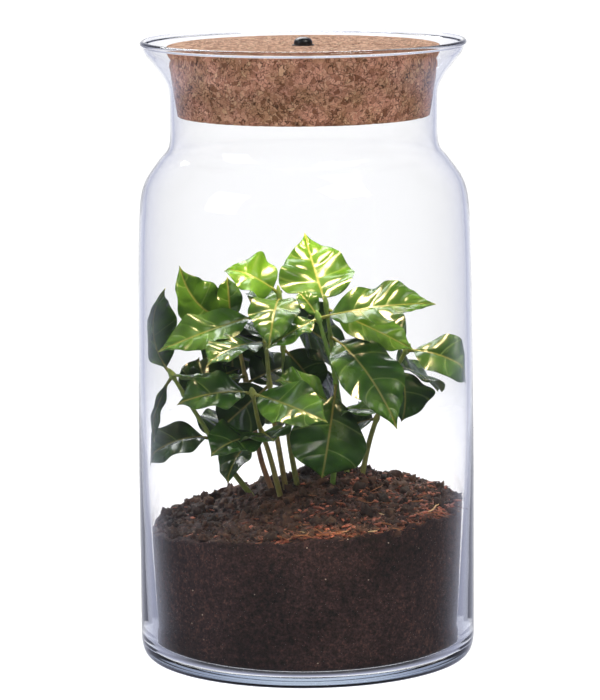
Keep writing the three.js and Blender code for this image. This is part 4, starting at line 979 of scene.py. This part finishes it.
def pushed_about(tree, spot, in_a_metre):
    """Places warped by a soft noise, so that no two granules have one shape or size."""
    wide = add(tree, "ShaderNodeMath", {0: in_a_metre, 1: 0.55}, operation="MULTIPLY")
    warp = add(tree, "ShaderNodeTexNoise", {"Vector": spot, "Scale": wide.outputs[0], "Detail": 2.0})
    shift = add(tree, "ShaderNodeVectorMath", {0: warp.outputs["Color"], 1: (0.5, 0.5, 0.5)},
                operation="SUBTRACT")
    push = add(tree, "ShaderNodeVectorMath", {0: shift.outputs[0], "Scale": GRANULE_WARP * GRANULE * MM},
               operation="SCALE")
    return add(tree, "ShaderNodeVectorMath", {0: spot, 1: push.outputs[0]}, operation="ADD").outputs[0]


# Agglomerated cork: matt, dry and spongy. Each granule keeps the tone of the bark that it came
# from, tan on the sanded top, with dark resin between. The side is darkened against the top as painted shade,
# with mauve patches in it.
cork, tree, place = new_material("agglomerated_cork")
spot = pushed_about(tree, place, 1 / (GRANULE * MM))
granules = add(tree, "ShaderNodeTexVoronoi", {"Vector": spot, "Scale": 1 / (GRANULE * MM)})
crevices = add(tree, "ShaderNodeTexVoronoi", {"Vector": spot, "Scale": 1 / (GRANULE * MM)},
               feature="DISTANCE_TO_EDGE")
own = add(tree, "ShaderNodeSeparateColor", {0: granules.outputs["Color"]})
browns = add(tree, "ShaderNodeValToRGB", {"Fac": own.outputs["Green"]})
browns.color_ramp.elements[0].color = linear("#855c42")
browns.color_ramp.elements[1].color = linear("#edcda8")
for position, colour in ((0.12, "#b98c70"), (0.45, "#d6a88c"), (0.75, "#e0b497"), (0.94, "#e7c0a2")):
    browns.color_ramp.elements.new(position).color = linear(colour)
fine = add(tree, "ShaderNodeTexNoise", {"Vector": place, "Scale": 1500.0, "Detail": 5.0, "Roughness": 0.65})
cells = add(tree, "ShaderNodeMapRange", {"Value": fine.outputs[0], "From Min": 0.3, "From Max": 0.7,
                                         "To Min": 0.72, "To Max": 1.18})
spongy = add(tree, "ShaderNodeMix", {0: 1.0, 6: browns.outputs[0], 7: cells.outputs[0]},
             data_type="RGBA", blend_type="MULTIPLY")
seam = add(tree, "ShaderNodeMapRange", {"Value": crevices.outputs["Distance"], "From Min": 0.12,
                                        "From Max": 0.02})
open_seam = add(tree, "ShaderNodeMath", {0: seam.outputs[0], 1: own.outputs["Red"]},
                operation="MULTIPLY")
resin = add(tree, "ShaderNodeMath", {0: open_seam.outputs[0], 1: 1.3}, operation="MULTIPLY",
            use_clamp=True)
seamed = add(tree, "ShaderNodeMix", {0: resin.outputs[0], 6: spongy.outputs[2], 7: linear("#4c2f20")},
             data_type="RGBA")
# Painted shade: faces that stand upright are darkened against the top, in patches from brown to mauve
normal = add(tree, "ShaderNodeNewGeometry").outputs["True Normal"]
facing = add(tree, "ShaderNodeSeparateXYZ", {"Vector": normal})
upright_share = add(tree, "ShaderNodeMapRange", {"Value": facing.outputs["Z"], "From Min": 0.7,
                                                 "From Max": 0.2})
drift = add(tree, "ShaderNodeTexNoise", {"Vector": place, "Scale": 75.0, "Detail": 2.0})
patchy = add(tree, "ShaderNodeMapRange", {"Value": drift.outputs[0], "From Min": 0.38,
                                          "From Max": 0.62})
side_shade_and_mauve_patches = add(tree, "ShaderNodeMix", {
    0: patchy.outputs[0], 6: linear("#ddceb9"), 7: linear("#fbe5e1")}, data_type="RGBA")
side_in_painted_shade = add(tree, "ShaderNodeMix", {
    0: upright_share.outputs[0], 6: seamed.outputs[2], 7: side_shade_and_mauve_patches.outputs[2]},
    data_type="RGBA", blend_type="MULTIPLY")
bark_grain = add(tree, "ShaderNodeMath", {0: fine.outputs[0], 1: crevices.outputs["Distance"]},
                 operation="ADD")
cork_bump = add(tree, "ShaderNodeBump", {"Strength": 0.55, "Distance": 0.0006,
                                         "Height": bark_grain.outputs[0]})
cork_face = add(tree, "ShaderNodeBsdfPrincipled", {
    "Base Color": side_in_painted_shade.outputs[2], "Roughness": 0.86, "Specular IOR Level": 0.25,
    "Normal": cork_bump.outputs[0]})
add(tree, "ShaderNodeOutputMaterial", {"Surface": cork_face.outputs[0]})

seat_floor, recess_top = CORK_TOP - COLLAR_DEPTH, CORK_BOTTOM + LAMP_RECESS
bore_radius, seat_radius = BARREL_RADIUS + FIT, COLLAR_RADIUS + FIT
bottom_round = arc((CORK_BOTTOM_RADIUS - CORK_EDGE_ROUND, CORK_BOTTOM + CORK_EDGE_ROUND),
                   CORK_EDGE_ROUND, -90, 0, 4)
top_round = arc((CORK_TOP_RADIUS - CORK_EDGE_ROUND, CORK_TOP - CORK_EDGE_ROUND),
                CORK_EDGE_ROUND, 0, 90, 4)
cork_line = [(bore_radius, recess_top), (LAMP_RADIUS + FIT, recess_top),
             (LAMP_RADIUS + FIT, CORK_BOTTOM), *bottom_round, *top_round, (seat_radius, CORK_TOP),
             (seat_radius, seat_floor), (bore_radius, seat_floor), (bore_radius, recess_top)]
cork_line = evenly(cork_line, CORK_STEP)
cork_line[-1] = cork_line[0]
cork_blank = turned("cork_blank", cork_line, CORK_SIDES, cork)

# Where granules may break out: all over the outside, but not by the bores, and little at the top edge
spots = np.empty(len(cork_blank.data.vertices) * 3)
cork_blank.data.vertices.foreach_get("co", spots)
x, y, z = spots.reshape(-1, 3).T / MM
radius = np.hypot(x, y)
underside, face = z < CORK_BOTTOM + EDGE_HEIGHT, z > CORK_TOP - EDGE_HEIGHT
worn = smoothstep(radius, LAMP_RADIUS + 0.6, LAMP_RADIUS + 2.5) * underside
worn = np.maximum(worn, smoothstep(radius, seat_radius + 0.4, seat_radius + 3) * face)
worn = np.maximum(worn, radius > CORK_BOTTOM_RADIUS - SIDE_WIDTH)
crisp = (radius > CORK_TOP_RADIUS - SIDE_WIDTH) & (z > CORK_TOP - SIDE_WIDTH)
worn = np.where(crisp, CRISP_EDGE_WEAR * worn, worn)
cork_blank.data.attributes.new("worn", "FLOAT", "POINT").data.foreach_set("value", worn.astype(float))

pitting, given = new_shaping_tree("granulated", (
    ("Granule Size", "Float"), ("Pit Depth", "Float"), ("Crevice Depth", "Float"), ("Finish", "Material")))
in_a_metre = add(pitting, "ShaderNodeMath", {0: 1.0, 1: given["Granule Size"]}, operation="DIVIDE")
spot = pushed_about(pitting, add(pitting, "GeometryNodeInputPosition").outputs[0], in_a_metre.outputs[0])
grains = add(pitting, "ShaderNodeTexVoronoi", {"Vector": spot, "Scale": in_a_metre.outputs[0]})
gaps = add(pitting, "ShaderNodeTexVoronoi", {"Vector": spot, "Scale": in_a_metre.outputs[0]},
           feature="DISTANCE_TO_EDGE")
chance = add(pitting, "FunctionNodeSeparateColor", {0: grains.outputs["Color"]})
missing = add(pitting, "ShaderNodeMath", {0: chance.outputs["Blue"], 1: 0.9}, operation="GREATER_THAN")
inside = add(pitting, "ShaderNodeMapRange", {"Value": gaps.outputs["Distance"], "From Max": 0.16})
pit = add(pitting, "ShaderNodeMath", {0: missing.outputs[0], 1: inside.outputs[0]}, operation="MULTIPLY")
pit_deep = add(pitting, "ShaderNodeMath", {0: pit.outputs[0], 1: given["Pit Depth"]},
               operation="MULTIPLY")
near_gap = add(pitting, "ShaderNodeMapRange", {"Value": gaps.outputs["Distance"], "From Min": 0.14,
                                               "From Max": 0.0})
depth = add(pitting, "ShaderNodeMath", {
    0: near_gap.outputs[0], 1: given["Crevice Depth"], 2: pit_deep.outputs[0]}, operation="MULTIPLY_ADD")
where_worn = add(pitting, "GeometryNodeInputNamedAttribute", {"Name": "worn"}, data_type="FLOAT")
eaten = add(pitting, "ShaderNodeMath", {0: depth.outputs[0], 1: where_worn.outputs[0]},
            operation="MULTIPLY")
inwards = add(pitting, "ShaderNodeMath", {0: eaten.outputs[0], 1: -1.0}, operation="MULTIPLY")
outwards = add(pitting, "GeometryNodeInputNormal").outputs[0]
move = add(pitting, "ShaderNodeVectorMath", {0: outwards, "Scale": inwards.outputs[0]},
           operation="SCALE")
pitted = add(pitting, "GeometryNodeSetPosition", {"Geometry": given["Geometry"],
                                                  "Offset": move.outputs[0]})
real = add(pitting, "GeometryNodeRealizeInstances", {"Geometry": pitted.outputs[0]})
finished = add(pitting, "GeometryNodeSetMaterial", {"Geometry": real.outputs[0],
                                                    "Material": given["Finish"]})
add(pitting, "NodeGroupOutput", {0: finished.outputs[0]})
cork_mesh = made_by(cork_blank, pitting, {"Granule Size": GRANULE * MM, "Pit Depth": PIT_DEPTH * MM,
                                          "Crevice Depth": CREVICE_DEPTH * MM, "Finish": cork})
bpy.data.objects.remove(cork_blank)
stopper = placed("cork_stopper_pressed", cork_mesh)
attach(stopper, "terrarium")
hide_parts("cork_stopper")

# Push switch: a moulded body whose thin flange lies on the cork, with a threaded barrel through
# it, a nickel-plated nut below, and a domed cap that slides down into the flange when pressed.
CAP_STEM_RADIUS, CAP_STEM_LENGTH, CAP_DOME_HEIGHT, CAP_SUNK_FOOT = 1.5, 6, 3.2, 0.6
NUT_ACROSS_FLATS, NUT_THICKNESS, BARREL_PAST_NUT = 12, 2.6, 0.8
THREAD_PITCH, THREAD_DEPTH = 0.9, 0.35
SWITCH_SIDES = 96
EDGE, CAP_EDGE, FLANGE_LIP = 0.25, 0.15, 0.1
THREAD_STARTS_AT, THREAD_RUNS_PAST_NUT = 0.3, 4
NUT_FLAT_FACE, NUT_CHAMFER, NUT_BORE_CHAMFER, NUT_SIDES = 0.97, 0.45, 0.3, 48

# Polished black phenolic, as buttons are moulded: deep gloss, with a faint haze from handling
gloss_black, tree, place = new_material("polished_black_phenolic")
handled = add(tree, "ShaderNodeTexNoise", {"Vector": place, "Scale": 420.0, "Detail": 3.0})
haze = add(tree, "ShaderNodeMapRange", {"Value": handled.outputs[0], "To Min": 0.3, "To Max": 0.46})
black = add(tree, "ShaderNodeBsdfPrincipled", {
    "Base Color": linear("#0e0e10"), "Roughness": haze.outputs[0], "Coat Weight": 0.1,
    "Coat Roughness": 0.2})
add(tree, "ShaderNodeOutputMaterial", {"Surface": black.outputs[0]})

# Moulded nylon of the switch body: black with a fine matt grain from the mould
grained_black, tree, place = new_material("moulded_black_nylon")
grain = add(tree, "ShaderNodeTexNoise", {"Vector": place, "Scale": 3200.0, "Detail": 2.0})
spark = add(tree, "ShaderNodeBump", {"Strength": 0.2, "Distance": 0.0001, "Height": grain.outputs[0]})
nylon = add(tree, "ShaderNodeBsdfPrincipled", {"Base Color": linear("#151517"), "Roughness": 0.5,
                                               "Normal": spark.outputs[0]})
add(tree, "ShaderNodeOutputMaterial", {"Surface": nylon.outputs[0]})

# Nickel-plated steel: bright, with turning marks round the axis
nickel, tree, place = new_material("nickel_plated_steel")
turning = add(tree, "ShaderNodeTexNoise", {"Vector": place, "Scale": 2500.0, "Detail": 2.0})
marks = add(tree, "ShaderNodeMapRange", {"Value": turning.outputs[0], "To Min": 0.18, "To Max": 0.36})
plated = add(tree, "ShaderNodeBsdfPrincipled", {"Base Color": linear("#c9c6bf"), "Metallic": 1.0,
                                                "Roughness": marks.outputs[0]})
add(tree, "ShaderNodeOutputMaterial", {"Surface": plated.outputs[0]})

roof_bottom = recess_top - FIT - LAMP_ROOF
nut_top = roof_bottom - FIT
nut_bottom = nut_top - NUT_THICKNESS
barrel_end = nut_bottom - BARREL_PAST_NUT
cap_foot = CORK_TOP - CAP_SUNK_FOOT
cap_top = CORK_TOP + CAP_STANDS_PROUD
well_radius = CAP_RADIUS + FIT
well_floor = cap_foot - CAP_TRAVEL - FIT
stem_bore = CAP_STEM_RADIUS + FIT
stem_end = cap_foot - CAP_STEM_LENGTH
bore_floor = stem_end - CAP_TRAVEL - FIT
flange_top = CORK_TOP + COLLAR_STANDS_PROUD
body_line = [(0, barrel_end), (BARREL_RADIUS - EDGE - THREAD_DEPTH, barrel_end)]
z = barrel_end + THREAD_STARTS_AT
while z < nut_top + THREAD_RUNS_PAST_NUT:
    body_line += [(BARREL_RADIUS - THREAD_DEPTH, z), (BARREL_RADIUS, z + THREAD_PITCH * 0.4),
                  (BARREL_RADIUS, z + THREAD_PITCH * 0.6)]
    z += THREAD_PITCH
body_line += [(BARREL_RADIUS, z), (BARREL_RADIUS, seat_floor + FIT),
              (COLLAR_RADIUS - FIT, seat_floor + FIT), (COLLAR_RADIUS, seat_floor + 2 * FIT),
              *arc((COLLAR_RADIUS - EDGE, flange_top - EDGE), EDGE, 0, 90, 6),
              *arc((well_radius + FLANGE_LIP, flange_top - FLANGE_LIP), FLANGE_LIP, 90, 180, 4),
              (well_radius, well_floor), (stem_bore, well_floor), (stem_bore, bore_floor), (0, bore_floor)]
switch = turned("push_switch_body", body_line, SWITCH_SIDES, grained_black, smooth_below=40)
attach(switch, "terrarium")
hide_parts("switch_body")

dome = bezier([(CAP_RADIUS, cap_top - CAP_DOME_HEIGHT), (CAP_RADIUS, cap_top - CAP_DOME_HEIGHT * 0.35),
               (CAP_RADIUS * 0.62, cap_top), (0, cap_top)], np.linspace(0, 1, 26))
cap_line = [(0, stem_end), (CAP_STEM_RADIUS - CAP_EDGE, stem_end), (CAP_STEM_RADIUS, stem_end + CAP_EDGE),
            (CAP_STEM_RADIUS, cap_foot), (CAP_RADIUS - CAP_EDGE, cap_foot),
            (CAP_RADIUS, cap_foot + CAP_EDGE), *dome]
cap = turned("push_button_cap", cap_line, SWITCH_SIDES, gloss_black, smooth_below=40)
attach(cap, "button")
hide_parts("button_cap")

flat = NUT_ACROSS_FLATS / 2
face, hole, bore_mouth = flat * NUT_FLAT_FACE, BARREL_RADIUS + FIT, BARREL_RADIUS + FIT + NUT_BORE_CHAMFER
vertices, faces = [], []
for radius, z in ((bore_mouth, nut_bottom), (face, nut_bottom), (None, nut_bottom + NUT_CHAMFER),
                  (None, nut_top - NUT_CHAMFER), (face, nut_top), (bore_mouth, nut_top),
                  (hole, nut_top - NUT_BORE_CHAMFER), (hole, nut_bottom + NUT_BORE_CHAMFER)):
    for k in range(NUT_SIDES):
        turn = 2 * math.pi * k / NUT_SIDES
        to_flat = flat / math.cos((turn + math.pi / 6) % (math.pi / 3) - math.pi / 6)
        reach = to_flat if radius is None else radius
        vertices.append((reach * math.cos(turn), reach * math.sin(turn), z))
for low in range(0, len(vertices), NUT_SIDES):
    high = (low + NUT_SIDES) % len(vertices)
    for k in range(NUT_SIDES):
        n = (k + 1) % NUT_SIDES
        faces.append((low + k, low + n, high + n, high + k))
nut = new_object("switch_nut_plated", vertices, faces, nickel, smooth_below=35)
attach(nut, "terrarium")
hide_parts("switch_nut")

# Grow lamp: a shallow moulded cup let into the cork from below, with an opal lens clipped into its
# mouth, and behind the lens a round board with a ring of light chips, fed by three button cells.
LAMP_WALL, LENS_THICKNESS, LENS_RING, LENS_RING_WIDTH = 2.3, 2, 4, 2
BOARD_LEDGE, BOARD_THICKNESS = 1.5, 1.6
LAMP_SIDES = 128
GLOW_BELOW_LENS, GLOW_ACROSS, GLOW_WATTS = 1, 40, 0.55

# Moulded ABS, warm white, with the satin bloom of a spark-eroded mould
white_abs, tree, place = new_material("moulded_white_abs")
grain = add(tree, "ShaderNodeTexNoise", {"Vector": place, "Scale": 2200.0, "Detail": 2.0})
spark = add(tree, "ShaderNodeBump", {"Strength": 0.25, "Distance": 0.0001, "Height": grain.outputs[0]})
abs_face = add(tree, "ShaderNodeBsdfPrincipled", {"Base Color": linear("#e9e7e1"), "Roughness": 0.42,
                                                  "Normal": spark.outputs[0]})
add(tree, "ShaderNodeOutputMaterial", {"Surface": abs_face.outputs[0]})

# Opal acrylic: milky, lit from behind by the chips
opal, tree, place = new_material("opal_acrylic")
cloud = add(tree, "ShaderNodeTexNoise", {"Vector": place, "Scale": 120.0, "Detail": 2.0})
milk = add(tree, "ShaderNodeMapRange", {"Value": cloud.outputs[0], "To Min": 0.34, "To Max": 0.46})
opal_face = add(tree, "ShaderNodeBsdfPrincipled", {
    "Base Color": linear("#f6f3ea"), "Roughness": milk.outputs[0], "Emission Color": linear("#fff1d6"),
    "Emission Strength": 1.0})
add(tree, "ShaderNodeOutputMaterial", {"Surface": opal_face.outputs[0]})

lens_bottom = CORK_BOTTOM + FIT
board_step = lens_bottom + LENS_RING + FIT + BOARD_THICKNESS + FIT
seat = LAMP_RADIUS - LAMP_WALL
housing_top = recess_top - FIT
housing_line = [(seat, lens_bottom), *arc((LAMP_RADIUS - EDGE, lens_bottom + EDGE), EDGE, -90, 0, 5),
                *arc((LAMP_RADIUS - EDGE, housing_top - EDGE), EDGE, 0, 90, 5),
                (bore_radius, housing_top), (bore_radius, roof_bottom),
                (seat - BOARD_LEDGE, roof_bottom), (seat - BOARD_LEDGE, board_step),
                (seat, board_step), (seat, lens_bottom)]
housing = turned("lamp_housing_moulded", housing_line, LAMP_SIDES, white_abs, smooth_below=40)
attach(housing, "terrarium")
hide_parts("lamp_housing")

lens_edge = seat - FIT
lens_line = [(0, lens_bottom), *arc((lens_edge - EDGE, lens_bottom + EDGE), EDGE, -90, 0, 5),
             (lens_edge, lens_bottom + LENS_RING),
             (lens_edge - LENS_RING_WIDTH, lens_bottom + LENS_RING),
             (lens_edge - LENS_RING_WIDTH, lens_bottom + LENS_THICKNESS),
             (0, lens_bottom + LENS_THICKNESS)]
lens = turned("lamp_lens_opal", lens_line, LAMP_SIDES, opal, smooth_below=40)
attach(lens, "terrarium")
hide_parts("lamp_lens")

lamp_glow = bpy.data.lights.new("lamp_glow", "AREA")
lamp_glow.shape = "DISK"
lamp_glow.size = GLOW_ACROSS * MM
lamp_glow.energy = GLOW_WATTS
lamp_glow.color = linear("#ffdfa8")[:3]
placed("lamp_glow", lamp_glow).location = (0, 0, (lens_bottom - GLOW_BELOW_LENS) * MM)

for node, finish in (("led_board", white_abs), ("battery_cell_1", nickel), ("battery_cell_2", nickel),
                     ("battery_cell_3", nickel)):
    for held in bpy.data.objects[node].material_slots:
        held.material = finish
